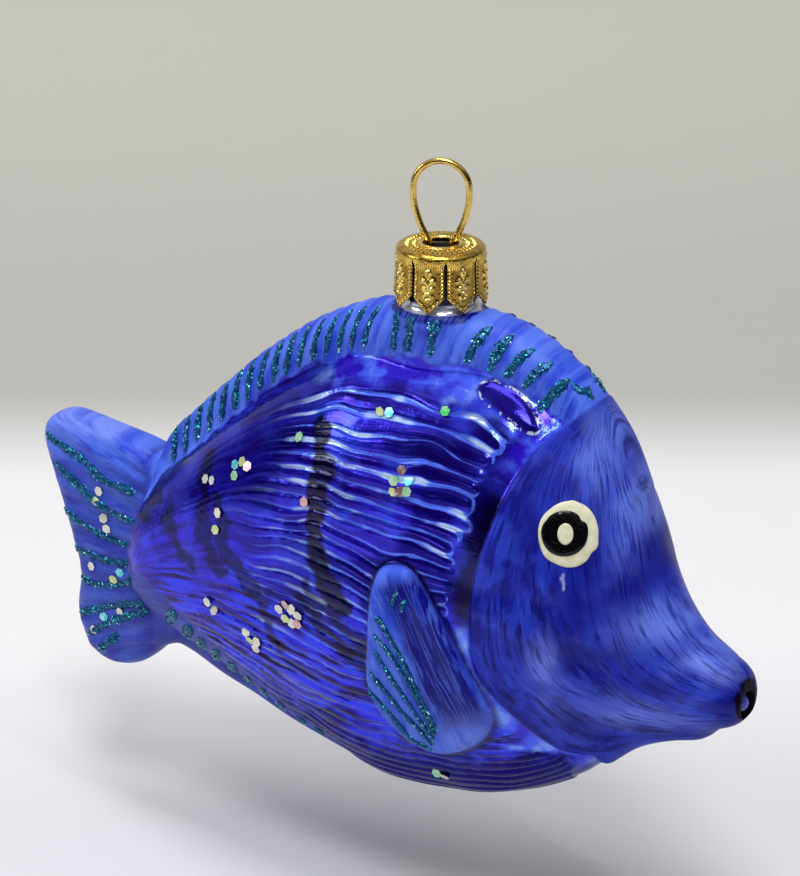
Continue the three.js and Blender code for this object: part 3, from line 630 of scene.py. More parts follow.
def glass_skin():
    voxel = SKIN_VOXEL
    outer = melted("glass_skin", [
        loft_along(body_section, body_ends, 110, 110),
        loft_along(crest_section, crest_ends, 90, 40),
        loft_along(keel_section, keel_ends, 60, 32),
        turned(COLLAR_PROFILE, 64),
        tail_form(),
        side_fin_form(-1),
        side_fin_form(1),
    ], voxel, SOFTENINGS)
    inner_ends = [body_ends[0] + GLASS_WALL, body_ends[1] - GLASS_WALL]
    bore = [[bore_radius, neck_root_z - 3 * GLASS_WALL], [bore_radius, rim_z + GLASS_WALL]]
    inner = melted("hollow", [
        loft_along(body_section, inner_ends, 40, 40, GLASS_WALL),
        turned(bore, 48),
    ], INNER_VOXEL, 0)
    cut = outer.modifiers.new("hollow", "BOOLEAN")
    cut.operation = "DIFFERENCE"
    cut.solver = "MANIFOLD"
    cut.object = inner
    with_modifiers_applied(outer)
    bpy.data.objects.remove(inner)
    return outer


def ribs(x, field):
    """Which rib a place is on, how high on it, from its groove to its top, and how far past its end."""
    across, side, behind = field.across, field.side, field.behind
    wave = RIB_WAVE * (noise(x / 15, across * 4, side) - 0.5)
    wave = wave + RIB_RIPPLE * (noise(x / 6, across * 15, side + 3) - 0.5)
    tilt = RIB_TILT * np.sin(pi * across) * ease(-42, 42, x)
    phase = (across - tilt) * RIBS + wave
    number = np.floor(phase)
    beside = np.abs(phase - number - 0.5) * 2
    own = noise(number * 3.7 + 0.5, side + 0.5, 0.5)
    end_distance = behind - RIB_END_GAP - RIB_END_SPREAD * own
    short = np.maximum(0, 1 - end_distance / 1.3)
    edge = 0.58 + 0.7 * (noise(x / 7, number * 2.3, side + 5) - 0.5)
    return phase, 1 - ease(edge, edge + 0.34, np.hypot(beside, short)), np.clip(short, 0, 3)


def skin_fields(points):
    """The masks and measures that shape and paint the glass, from a place on its surface."""
    x, y, z = points.T
    side = np.where(y < 0, 0.0, 9.0)
    top, bottom, ridge = line_z("top", x), line_z("bottom", x), line_z("crest", x)
    behind = behind_gill(x, z)
    fin_edge = outside(fin_outline, x, z)
    ragged = noise(x / 1.6, z / 1.6, side) - 0.5
    proud = np.abs(y) - oval_reach(body_section(x), z)
    radius = np.hypot(x, y)
    hollow = (radius < bore_radius + 0.35) & (z > neck_root_z - 4 * GLASS_WALL)
    hollow |= (proud < -GLASS_WALL * 0.6) & (z < top - 1) & (z > bottom + 1)
    body = ease(body_ends[0] + 1, body_ends[0] + 4, x)

    field = SimpleNamespace(side=side, behind=behind, fin_edge=fin_edge, ragged=ragged)
    flow_top = np.where((x > crest_ends[0]) & (x < crest_ends[1]), np.minimum(top, ridge - RIB_TOP_DROP), top)
    field.across = np.clip((flow_top - z) / np.maximum(flow_top - bottom, 1), 0, 1)
    field.below_ridge = ridge - z
    field.inside = hollow.astype(float)
    field.head = ease(0.35, -0.35, behind)
    field.crest = ease(7.6, 6.8, ridge - z + 1.4 * ragged) * body
    under = (z < (top + bottom) / 2) & (x < keel_ends[1])
    keel = ease(0.5, -0.5, z - keel_border(x) + 1.2 * ragged) * under
    field.keel = keel * ease(-9, -15, x) * body
    field.tail = ease(body_ends[0] + 4.2, body_ends[0] + 1.8, x + 1.2 * ragged)
    field.fin = ease(0.35, -0.1, fin_edge) * (proud > 0.25)
    near_neck = ease(collar_radius + 1.0, collar_radius + 0.3, radius)
    field.collar = near_neck * ease(collar_top_z - 2.9, collar_top_z - 2.0, z + 0.6 * ragged)

    field.leaf_edge = outside(leaf_outline, x, z)
    field.phase, field.rib, field.short = ribs(x, field)
    rear = -16 - 20 * ease(0.3, 0.7, field.across)
    reach = (ease(rear - 12, rear + 8, x) * 0.85 + 0.15) * ease(0.6, 1.4, behind)
    reach = reach * ease(9.0, 11.5, field.below_ridge) * ease(0.3, 1.3, fin_edge)
    reach = reach * (1 - keel) * (1 - field.tail) * ease(0.0, 0.8, field.leaf_edge)
    reach = reach * (0.55 + 0.45 * noise(x / 8, field.across * 9, side + 6))
    field.reach = reach * (1 - field.head) * (1 - hollow)
    return field


SNOUT_LUMPS = [[49.8, snout_z - 5.2, 2.2, -1.1], [46.0, snout_z - 7.2, 2.6, 0.4]]
BLUNT_REACH = 3.6


def shape_skin(points, normals, field):
    """Moves the surface by the head's step, the ribs and the moulded rays."""
    x, y, z = points.T
    to_snout = np.hypot(y, z - snout_z)
    rise = HEAD_STEP * field.head * ease(snout_x - 0.2, snout_x - 4, x)
    rise = rise * (0.2 + 0.8 * ease(2, 9, field.below_ridge))
    rise = rise + RIB_HEIGHT * field.reach * (field.rib - 0.5)
    rise = rise + 0.6 * RIB_HEIGHT * ease(0.3, -0.8, field.leaf_edge) * (1 - field.head)
    flute = np.cos(2 * pi * (x - 0.28 * (z - line_z("crest", x))) / FLUTE_PITCH)
    rise = rise + FLUTE_HEIGHT * flute * field.crest * (1 - field.head) * (1 - field.collar)
    fan = (z - tail_middle_z) / (TAIL_SPAN * (0.30 + 0.20 * (tail_root_x - x) / TAIL_LENGTH))
    tail_flute = np.cos(2 * pi * fan * TAIL_FLUTES)
    rise = rise + TAIL_FLUTE_HEIGHT * tail_flute * field.tail * ease(2.6, 3.4, np.abs(y))
    down, forward = fin_shares(x, z)
    fin_flute = np.cos(2 * pi * (forward + 0.2 * down) * FIN_FLUTES)
    rise = rise + FIN_FLUTE_HEIGHT * fin_flute * field.fin * ease(-0.4, -2.0, field.fin_edge)
    rise = rise + UNEVENNESS * (noise(x / 7, y / 7, z / 7) - 0.5) * ease(snout_x, snout_x - 3, x)
    for px, pz, size, height in SNOUT_LUMPS:
        rise = rise + height * np.exp(-(((x - px) ** 2 + (z - pz) ** 2) / size**2))
    moved = points + normals * (rise * (1 - field.inside))[:, None]
    tip = np.clip((snout_x - x) / BLUNT_REACH, 0, 1)
    moved[:, 0] += BLUNT_REACH * (tip - tip**2.2) * ease(snout_z - 4.5, snout_z - 1.5, z) * (1 - field.inside)
    recess = ease(MOUTH_RADIUS, MOUTH_RADIUS * 0.7, to_snout) * ease(snout_x - 3, snout_x - 1.5, x)
    moved[:, 0] -= MOUTH_DEPTH * recess * (1 - field.inside)
    return moved


# Looks


def node(tree, kind, settings=None, **inputs):
    made = tree.nodes.new("ShaderNode" + kind)
    for name, value in (settings or {}).items():
        setattr(made, name, value)
    for name, value in inputs.items():
        key = int(name[1:]) if name[1:].isdigit() else name.replace("_", " ")
        connect(tree, made.inputs[key], value)
    return made


def connect(tree, socket, value):
    if isinstance(value, bpy.types.NodeSocket):
        tree.links.new(value, socket)
    elif isinstance(value, str):
        tree.links.new(measure(tree, value), socket)
    else:
        socket.default_value = value


def measure(tree, name):
    return node(tree, "Attribute", {"attribute_name": name}).outputs["Fac"]


def mixed(tree, factor, first, second):
    return node(tree, "Mix", {"data_type": "RGBA"}, i0=factor, i6=first, i7=second).outputs[2]


def reckoned(tree, operation, first, second=0.0):
    return node(tree, "Math", {"operation": operation}, i0=first, i1=second).outputs[0]


def bumped(tree, strength, distance, height):
    return node(tree, "Bump", Strength=strength, Distance=distance * MM, Height=height).outputs[0]


def product(tree, first, second):
    return node(tree, "Math", {"operation": "MULTIPLY", "use_clamp": True}, i0=first, i1=second).outputs[0]


def added(tree, value, factor, more):
    return node(tree, "Math", {"operation": "MULTIPLY_ADD"}, i0=value, i1=factor, i2=more).outputs[0]


def stepped(tree, value, low, high, start=0.0, end=1.0):
    """From start to end, softly, as the value goes from low to high."""
    softly = {"interpolation_type": "SMOOTHSTEP"}
    return node(tree, "MapRange", softly, i0=value, i1=low, i2=high, i3=start, i4=end).outputs[0]


def rgb(red, green, blue):
    """A colour from its sRGB values out of 255."""
    def linear(value):
        share = value / 255
        return share / 12.92 if share <= 0.04045 else ((share + 0.055) / 1.055) ** 2.4
    return (linear(red), linear(green), linear(blue), 1.0)


def layered(tree, colour, *layers):
    """A colour under others, each a value, its low and high marks, the most that is laid on, and the tint."""
    for value, low, high, most, tint in layers:
        colour = mixed(tree, stepped(tree, value, low, high, 0.0, most), colour, rgb(*tint))
    return colour


def new_material(name):
    material = bpy.data.materials.new(name)
    material.use_nodes = True
    tree = material.node_tree
    return material, tree, tree.nodes["Principled BSDF"]


def dress(tree, shader, **inputs):
    for name, value in inputs.items():
        connect(tree, shader.inputs[name.replace("_", " ")], value)


def streaks(tree, width, length, detail=3.0, seed=0.0):
    """Noise drawn out along the strokes: width is across them in millimetres, length along them."""
    place = node(tree, "TexCoord").outputs["Object"]
    apart = node(tree, "SeparateXYZ", i0=place)
    across = added(tree, "stroke", 1 / width, seed)
    along_x = added(tree, apart.outputs[0], 1 / (length * MM), seed)
    along_z = added(tree, apart.outputs[2], 1 / (length * MM), seed)
    vector = node(tree, "CombineXYZ", i0=across, i1=along_x, i2=along_z).outputs[0]
    return node(tree, "TexNoise", Vector=vector, Scale=1.0, Detail=detail, Roughness=0.6).outputs[0]


def cloud(tree, size, detail=3.0):
    place = node(tree, "TexCoord").outputs["Object"]
    return node(tree, "TexNoise", Vector=place, Scale=1 / (size * MM), Detail=detail).outputs[0]


def flank_lacquer(tree, fine):
    """Transparent lacquer over silver on the flanks."""
    broad = streaks(tree, 2.2, 15.0, seed=3.0)
    lacquer = layered(tree, rgb(30, 4, 150), (broad, 0.38, 0.62, 1.0, (42, 30, 214)),
                      (cloud(tree, 6.0, 4.0), 0.48, 0.66, 0.8, (50, 70, 240)),
                      (fine, 0.54, 0.72, 0.4, (66, 84, 246)))
    violet = layered(tree, rgb(44, 10, 146), (broad, 0.40, 0.62, 1.0, (62, 44, 210)))
    lacquer = mixed(tree, "violet", lacquer, violet)
    tongue = streaks(tree, 1.5, 9.0, 2.0, seed=13.0)
    for low, high, tint in ((0.50, 0.60, (44, 58, 244)), (0.48, 0.41, (20, 0, 78))):
        lacquer = mixed(tree, product(tree, "low", stepped(tree, tongue, low, high)), lacquer, rgb(*tint))
    # Painted shade: the lacquer darkened towards the belly and between the rib highlights
    return mixed(tree, "painted_shade", lacquer, rgb(14, 0, 98))


def with_rib_lines(tree, lacquer, fine):
    """The lacquer with a painted highlight round each rib and a vein in each groove, and how strong the
    highlight is.
    """
    in_rib = reckoned(tree, "PINGPONG", "phase", 0.5)
    groove = reckoned(tree, "FLOOR", added(tree, "phase", 1.0, 0.5))
    own = node(tree, "TexWhiteNoise", {"noise_dimensions": "1D"}, W=groove).outputs["Value"]
    apart = node(tree, "CombineXYZ", i0=added(tree, in_rib, -2.0, 1.0), i1="short").outputs[0]
    apart = node(tree, "VectorMath", {"operation": "LENGTH"}, i0=apart).outputs["Value"]
    off_edge = reckoned(tree, "ABSOLUTE", added(tree, apart, 1.0, -1.0))
    swell = streaks(tree, 2.6, 9.0, 2.0, seed=5.0)
    width = added(tree, stepped(tree, swell, 0.40, 0.70), 0.34, added(tree, own, 0.16, 0.05))
    width = added(tree, stepped(tree, "short", 0.0, 0.7), -0.16, width)
    over = added(tree, width, -1.0, added(tree, fine, 0.16, off_edge))
    line = product(tree, "rib_highlight", stepped(tree, over, 0.14, 0.02))
    highlight_core = product(tree, stepped(tree, over, 0.02, -0.12), stepped(tree, swell, 0.48, 0.62))
    highlight_core = product(tree, highlight_core, stepped(tree, "short", 0.5, 0.1))
    # Painted highlight: a pale line round each rib with a near-white core
    lacquer = mixed(tree, line, lacquer, mixed(tree, highlight_core, rgb(84, 116, 252), rgb(190, 214, 255)))
    vein = product(tree, "rib_highlight", stepped(tree, apart, 0.16, 0.04))
    vein = product(tree, vein, stepped(tree, fine, 0.5, 0.62))
    return mixed(tree, vein, lacquer, rgb(86, 60, 232)), line


def with_marks(tree, lacquer):
    """The lacquer with its mottled places, a painted highlight on the rim of the leaf, and the smoky strokes
    together with painted shadows.
    """
    mottle = cloud(tree, 4.2, 5.0)
    mottled = layered(tree, rgb(44, 16, 204), (mottle, 0.40, 0.54, 1.0, (70, 96, 250)),
                      (mottle, 0.53, 0.66, 0.9, (124, 160, 255)))
    lacquer = mixed(tree, "marble", lacquer, mottled)
    # Painted highlight: a near-white line round the rim of the leaf
    leaf_rim_glint = stepped(tree, reckoned(tree, "ABSOLUTE", "leaf"), 0.28, 0.12)
    leaf_rim_glint = product(tree, leaf_rim_glint, stepped(tree, cloud(tree, 0.9), 0.48, 0.55))
    lacquer = mixed(tree, leaf_rim_glint, lacquer, rgb(214, 230, 255))
    # Smoky strokes, and painted shadows, laid on in near-black
    smoke_and_shade = stepped(tree, streaks(tree, 0.9, 3.0, seed=9.0), 0.30, 0.48, 0.82, 1.0)
    return mixed(tree, product(tree, "smoke_and_shade", smoke_and_shade), lacquer, rgb(7, 0, 36))


def brushed_paint(tree, bristle):
    """Opaque paint laid on with a brush on the head and the fins."""
    sweep = streaks(tree, 2.4, 9.0, 3.0, seed=11.0)
    blotch = cloud(tree, 4.5, 4.0)
    head = layered(tree, rgb(10, 18, 128),
                   (sweep, 0.40, 0.60, 1.0, (26, 44, 172)), (blotch, 0.46, 0.62, 0.6, (44, 66, 194)),
                   (bristle, 0.46, 0.36, 0.9, (6, 4, 96)), (bristle, 0.58, 0.72, 0.4, (70, 92, 214)))
    fins = layered(tree, rgb(44, 68, 200), (sweep, 0.38, 0.62, 1.0, (82, 114, 226)),
                   (blotch, 0.44, 0.62, 0.5, (68, 104, 214)), (bristle, 0.42, 0.30, 0.5, (24, 38, 160)))
    paint = mixed(tree, "pale", head, fins)
    for mask, brush, low, high, start, end, tint in (
        ("dark", bristle, 0.36, 0.52, 0.3, 1.0, (8, 10, 116)),
        # The light places hold painted highlights on the head and a painted sheen on the tail
        ("light", bristle, 0.36, 0.56, 0.3, 1.0, (108, 130, 228)),
        ("grey", sweep, 0.30, 0.60, 0.9, 0.4, (54, 50, 140)),
    ):
        share = product(tree, mask, stepped(tree, brush, low, high, start, end))
        paint = mixed(tree, share, paint, rgb(*tint))
    paint = mixed(tree, "dab", paint, rgb(176, 180, 214))
    return mixed(tree, "mouth", paint, rgb(3, 1, 14))


def glass_material():
    """Lacquer or paint on the outside, silver on the inside and where the neck is bare."""
    material, tree, shader = new_material("lacquered_glass")
    fine = streaks(tree, 0.5, 8.0)
    bristle = streaks(tree, 0.44, 5.5, 4.0, seed=7.0)
    lacquer, line = with_rib_lines(tree, flank_lacquer(tree, fine), fine)
    colour = mixed(tree, "paint", with_marks(tree, lacquer), brushed_paint(tree, bristle))
    colour = mixed(tree, "silver", colour, rgb(226, 230, 238))
    colour = mixed(tree, "inside", colour, rgb(190, 194, 205))

    metal = added(tree, line, -0.25, stepped(tree, "marble", 0.0, 1.0, 0.62, 0.45))
    metal = node(tree, "Mix", i0="paint", i2=metal, i3=0.0).outputs[0]
    coat = stepped(tree, "paint", 0.0, 1.0, 0.14, 0.0)
    coat = product(tree, coat, stepped(tree, "painted_shade", 0.0, 1.0, 1.0, 0.2))
    rough = added(tree, bristle, 0.14, stepped(tree, "paint", 0.0, 1.0, 0.04, 0.34))
    specular = stepped(tree, "paint", 0.0, 1.0, 0.4, 0.20)
    specular = product(tree, specular, stepped(tree, "mouth", 0.2, 0.8, 1.0, 0.15))
    specular = product(tree, specular, stepped(tree, "painted_shade", 0.0, 1.0, 1.0, 0.3))
    height = added(tree, fine, 0.5, added(tree, bristle, 0.35, cloud(tree, 1.3, 4.0)))
    bump = bumped(tree, 0.35, 0.12, height)
    dress(tree, shader, Base_Color=colour, Metallic=metal, Roughness=rough, Specular_IOR_Level=specular,
          Coat_Weight=coat, Coat_Roughness=0.04, Normal=bump)
    return material


def gold_material(name, bright, deep, roughness, stamped):
    material, tree, shader = new_material(name)
    tarnish = cloud(tree, 1.6, 4.0)
    scratch = cloud(tree, 0.25, 2.0)
    colour = mixed(tree, stepped(tree, tarnish, 0.40, 0.72, 0.0, 0.7), bright, deep)
    if stamped:
        # Painted highlight on the raised relief and painted shade in its hollows
        colour = mixed(tree, "relief", colour, rgb(255, 236, 150))
        colour = mixed(tree, "hollow_shade", colour, rgb(96, 66, 14))
    rough = stepped(tree, scratch, 0.3, 0.7, roughness - 0.06, roughness + 0.08)
    uneven = added(tree, cloud(tree, 1.2, 3.0), 4.0 if stamped else 0.8, scratch)
    bump = bumped(tree, 0.35, 0.08, uneven)
    dress(tree, shader, Base_Color=colour, Metallic=1.0, Roughness=rough, Normal=bump)
    return material


def enamel_material(name, colour, tint, roughness, relief):
    material, tree, shader = new_material(name)
    patches = cloud(tree, 1.1, 4.0)
    tone = mixed(tree, stepped(tree, patches, 0.42, 0.70), colour, tint)
    bump = bumped(tree, relief, 0.14, cloud(tree, 0.7, 3.0))
    rough = stepped(tree, cloud(tree, 0.5), 0.3, 0.7, roughness - 0.06, roughness + 0.08)
    dress(tree, shader, Base_Color=tone, Roughness=rough, Normal=bump, Specular_IOR_Level=0.3)
    return material


# Tone of the glue at 0 and of the grains above it
GLITTER_TONES = [
    (0.0, (4, 74, 122)), (0.12, (2, 44, 74)), (0.45, (4, 96, 134)), (0.72, (10, 136, 168)),
    (0.90, (50, 196, 216)), (0.97, (190, 250, 245)), (1.0, (50, 110, 220)),
]


def glitter_material():
    material, tree, shader = new_material("teal_glitter")
    ramp = node(tree, "ValToRGB", i0="spark")
    elements = ramp.color_ramp.elements
    while len(elements) < len(GLITTER_TONES):
        elements.new(0.5)
    for element, (place, tint) in zip(elements, GLITTER_TONES):
        element.position = place
        element.color = rgb(*tint)
    bump = bumped(tree, 0.5, 0.06, cloud(tree, 0.22))
    dress(tree, shader, Base_Color=ramp.outputs[0], Metallic=0.6, Roughness=0.26, Normal=bump)
    return material


def confetti_material():
    material, tree, shader = new_material("foil_confetti")
    tint = node(tree, "Attribute", {"attribute_name": "tint"}).outputs["Color"]
    sheen = cloud(tree, 0.9, 2.0)
    colour = mixed(tree, stepped(tree, sheen, 0.40, 0.66, 0.0, 0.45), tint, rgb(240, 240, 230))
    dress(tree, shader, Base_Color=colour, Metallic=0.4, Roughness=0.28)
    return material


# Marks on the glass, as [x, z] places on a flank and their widths

DARK_BAND = [[-12.6, -39.5], [-12.2, -44.0], [-12.4, -50.0], [-11.9, -56.0], [-10.6, -61.0], [-7.6, -65.0]]
SMOKE_STROKES = [
    ([[-35.8, -50.5], [-35.4, -57.0], [-34.2, -62.0], [-31.0, -67.0]], 1.4),
    ([[-31.6, -56.5], [-30.6, -61.5], [-26.5, -66.5], [-21.5, -69.5]], 1.4),
    ([[-26.5, -67.5], [-22.5, -71.0], [-20.0, -76.0]], 0.9),
    ([[-14.6, -67.0], [-10.6, -70.0], [-5.5, -73.5], [1.0, -78.5]], 1.1),
    ([[-13.5, -64.0], [-8.0, -67.5], [-2.0, -73.0]], 1.3),
    ([[-49.0, -62.0], [-47.5, -57.5], [-43.5, -53.0]], 1.5),
    ([[-42.5, -60.5], [-41.0, -64.5], [-38.5, -67.5]], 1.4),
    ([[-29.6, -64.5], [-27.5, -66.5]], 0.9),
]
EYE_DAB = [[27.9, -54.3], [28.2, -56.2]]
# Lighter places on the head's paint as [x, z, half width, half height]; the one high on the forehead is a
# painted highlight
HEAD_LIGHTS = [[29.5, -36.5, 2.6, 6.0], [34.0, -45.5, 2.2, 6.5], [40.0, -61.7, 5.0, 2.8],
               [26.0, -69.0, 1.8, 5.0], [39.0, -75.0, 8.0, 2.2], [47.0, -67.0, 3.0, 2.6]]
HEAD_DARKS = [[37.0, -54.5, 2.2, 5.0], [22.0, -47.0, 2.6, 6.0], [33.0, -65.5, 7.0, 2.0],
              [31.0, -57.0, 4.0, 5.0], [42.0, -69.5, 4.0, 1.8], [27.5, -33.0, 2.0, 2.0]]


def near_path(x, z, path, width):
    nearest = np.full(np.shape(x), np.inf)
    for a, b in zip(path[:-1], path[1:]):
        nearest = np.minimum(nearest, from_line(x, z, a, b))
    return ease(width * 1.2, width * 0.8, nearest)


def in_patches(x, z, patches):
    total = 0
    for px, pz, half_width, half_height in patches:
        total = total + np.exp(-(((x - px) / half_width) ** 2) - ((z - pz) / half_height) ** 2)
    return np.clip(total, 0, 1)


def head_flow(x, z, ahead):
    """Strokes on the head run from the ridge down between the gill edge and the profile to the snout."""
    def near(distance):
        return np.maximum(distance, 0.3)
    to_jaw = near(z - line_z("bottom", x))
    rear = (near(ahead) ** -3.0 + to_jaw**-3.0) ** (-1 / 3)
    profile = np.maximum(line_z("top", x), np.where(x < crest_ends[1], line_z("crest", x), -200))
    front = near((profile + 0.6 - z) * 0.65)
    return 26 * rear / (rear + front)


def stroke_of(x, z, field):
    """How far across the brush strokes or ribs a place lies, so that streaks can follow them."""
    back = (tail_root_x - x) / TAIL_LENGTH
    down, forward = fin_shares(x, z)
    stroke = np.where(field.head > 0.5, head_flow(x, z, -field.behind), field.phase * 2.0)
    stroke = np.where((field.crest > 0.5) & (field.head <= 0.5), x - 0.28 * z, stroke)
    stroke = np.where(field.tail > 0.5, (z - tail_middle_z) / (0.8 + 0.4 * back), stroke)
    return np.where(field.fin > 0.5, forward * FIN_WIDTH * (1.35 - 0.35 * down), stroke)


def bright_marks(x, z, field, upper, channel):
    """Painted highlights round the ribs, and mottled places under the back fin and in the gill groove."""
    side, across = field.side, field.across
    # Where the painted rib highlights lie: strongest up front, fainter low down
    low_rib_highlights = 0.55 * ease(-34, -20, x) * ease(0.5, 0.62, across) * ease(0.86, 0.74, across)
    rib_highlight = field.reach * np.maximum(upper, low_rib_highlights * noise(x / 6, across * 12, side + 8))
    rib_highlight = np.clip(2.0 * rib_highlight * (0.3 + noise(x / 8, across * 9, side + 7)), 0, 1)
    rib_highlight = rib_highlight * ease(0.88, 0.78, across) * (1 - field.head)

    depth = field.below_ridge
    marble = ease(6.2, 7.4, depth) * ease(12.0, 9.5, depth + 3 * field.ragged) * ease(-24, -10, x)
    marble = marble + channel * ease(-43, -38, z) * (depth > 6.5)
    low_channel = channel * ease(-62, -67, z) * ease(-92, -84, z)
    return rib_highlight, np.clip(marble + low_channel, 0, 1) * ease(-0.1, 0.6, field.leaf_edge)


def tinted_marks(x, z, field, upper):
    """Violet lacquer to the rear, streaked lacquer low down, and painted shade: dark rib bodies up front,
    darkening towards the belly, and darker places at the upper rear and on the leaf.
    """
    side, across = field.side, field.across
    violet = ease(-16, -40, x + 9 * (noise(x / 6, z / 6, side) - 0.5)) * ease(0.25, 0.6, across)
    low = ease(0.42, 0.62, across + 0.2 * (noise(x / 5, z / 5, side + 4) - 0.5)) * ease(-50, -42, x)
    low = low * ease(0.94, 0.84, across) * (1 - field.head)
    painted_shade = 0.8 * ease(0.45, 0.7, noise(x / 8, across * 14, side + 2)) * upper
    painted_shade = painted_shade + 0.92 * ease(0.78, 0.90, across + 0.06 * field.ragged) * ease(-42, -24, x)
    painted_shade = painted_shade + 0.35 * ease(0.36, 0.14, across) * ease(-6, -20, x)
    return violet, low, np.clip(painted_shade + 0.7 * ease(0.2, -0.4, field.leaf_edge), 0, 1)


def smoke_and_shadow_marks(x, y, z, field, channel):
    """The dark band and the smoky strokes, and painted shadows in the gill groove, round the side fin and on
    the neck under the cap.
    """
    bend_x = x + 2.6 * (noise(x / 3, z / 2.0, field.side + 1) - 0.5)
    bend_z = z + 2.6 * (noise(x / 3, z / 2.0, field.side + 2) - 0.5)
    smoke_and_shade = 0.95 * near_path(bend_x, bend_z, DARK_BAND, 1.9)
    for path, width in SMOKE_STROKES:
        smoke_and_shade = np.maximum(smoke_and_shade, 0.75 * near_path(bend_x, bend_z, path, width))
    smoke_and_shade = np.maximum(smoke_and_shade, 0.9 * channel * ease(-42, -46, z) * ease(-66, -62, z))
    fin_shadow = ease(1.5, 0.2, field.fin_edge) * ease(-0.1, 0.2, field.fin_edge)
    smoke_and_shade = np.maximum(smoke_and_shade, 0.75 * fin_shadow)
    # Painted shadow: the neck above the collar, under the cap, is darkened
    return np.maximum(smoke_and_shade, ease(0.8, 1.2, z - collar_top_z) * (np.hypot(x, y) < collar_radius))


def lacquer_marks(x, y, z, field):
    upper = ease(-34, -8, x + 12 * (noise(x / 9, field.across * 7, field.side) - 0.5))
    upper = upper * ease(0.86, 0.5, field.across)
    channel = ease(4.2, 1.8, field.behind + field.ragged) * (1 - field.head)
    rib_highlight, marble = bright_marks(x, z, field, upper, channel)
    violet, low, painted_shade = tinted_marks(x, z, field, upper)
    smoke_and_shade = smoke_and_shadow_marks(x, y, z, field, channel)
    leaf = np.where(field.head < 0.5, np.clip(field.leaf_edge - 0.1, -3, 3), 3)
    return dict(rib_highlight=rib_highlight, marble=marble, violet=violet, low=low, painted_shade=painted_shade, smoke_and_shade=smoke_and_shade, leaf=leaf)


def paint_tones(x, y, z, field):
    """Dark, light and grey places of the paint on the head, the tail and the fins, with painted shade on the
    tail's lower part and a painted sheen along its top.
    """
    side = field.side
    bend_x = x + 3.0 * (noise(x / 3, z / 3, side + 1) - 0.5)
    bend_z = z + 3.0 * (noise(x / 3, z / 3, side + 2) - 0.5)
    down, forward = fin_shares(x, z)
    fin_dark = ease(-0.06, 0.10, forward + 0.2 * (noise(x / 2, z / 2, side) - 0.5))
    fin_dark = 1.2 * fin_dark * ease(0.56, 0.46, forward)
    fin_dark = fin_dark * ease(0.02, 0.14, down) * ease(0.94, 0.80, down) * field.fin
    dark = in_patches(bend_x, bend_z, HEAD_DARKS) * field.head * 0.8 + fin_dark
    # Painted shade: the tail darkens downwards
    tail_underside_shade = ease(tail_top_z - 4, tail_top_z - 16, z) * field.tail
    dark = dark + 0.4 * tail_underside_shade + 0.6 * field.tail * ease(tail_root_x - 4, tail_root_x + 1, x)
    light = in_patches(bend_x, bend_z, HEAD_LIGHTS) * field.head * 0.75
    # Painted sheen: the tail's upper edge, away from its root, is lighter
    tail_top = ease(4.2, 2.6, np.abs(y)) * ease(tail_top_z - 9, tail_top_z - 3, z)
    light = light + 1.4 * tail_top * ease(tail_root_x - 6, tail_root_x - 10, x)
    light = light + 0.7 * field.fin * ease(0.74, 0.92, down) * ease(-0.15, 0.1, forward)
    return dark, light, np.maximum(0.9 * field.keel, 0.5 * tail_underside_shade) * (1 - field.head)


def paint_skin(mesh, points, field):
    """Stores the masks and measures that the glass material reads."""
    x, y, z = points.T
    pale = np.maximum.reduce([field.crest, 0.45 * field.keel, field.tail, field.fin]) * (1 - field.head)
    painted = np.maximum.reduce([field.crest, field.keel, field.tail, field.fin, field.head])
    dark, light, grey = paint_tones(x, y, z, field)

    from_snout = np.sqrt((x - snout_x) ** 2 + y**2 + (z - snout_z - 0.6) ** 2)
    torn = noise(y / 1.4, z / 1.4, x / 1.4) - 0.5
    mouth = ease(MOUTH_RADIUS + 1.7, MOUTH_RADIUS + 0.8, from_snout + 2.4 * torn)
    dark = dark + 0.8 * ease(8.0, 4.5, from_snout + 5.0 * torn)
    dab = 0.7 * near_path(x, z, EYE_DAB, 0.2) * field.head

    near_cap = np.hypot(x, y) < collar_radius + 0.4
    dz = z - collar_top_z
    silver = ease(-0.2, -0.05, dz) * ease(1.2, 0.8, dz) * near_cap
    # Painted shade: a dark ring round the collar just under the petal tips
    ring = ease(-1.5, -1.1, dz) * ease(0.1, -0.1, dz) * near_cap
    painted = np.maximum(painted * (dz < 0), ring) * (1 - silver)
    values = dict(
        lacquer_marks(x, y, z, field), paint=painted, pale=pale, phase=field.phase, short=field.short,
        dark=np.clip(dark + ring, 0, 1), light=np.clip(light, 0, 1), mouth=mouth, silver=silver,
        inside=field.inside, stroke=stroke_of(x, z, field), grey=grey, dab=dab,
    )
    for name, value in values.items():
        store(mesh, name, value)


# What lies on the glass


class Surface:
    """Finds the point of the skin at a place on a side, and which way it faces there."""

    def __init__(self, made):
        corners = [vertex.co for vertex in made.data.vertices]
        self.tree = BVHTree.FromPolygons(corners, [polygon.vertices for polygon in made.data.polygons])

    def at(self, x, z, side):
        start = Vector((x * MM, side * BODY_THICKNESS * MM, z * MM))
        place, normal, _, _ = self.tree.ray_cast(start, Vector((0, -side, 0)))
        if place is None:
            place, normal, _, _ = self.tree.find_nearest(Vector((x * MM, side * 3 * MM, z * MM)))
        normal = np.array(normal)
        if normal[1] * side < 0:
            normal = -normal
        return np.array(place) / MM, normal


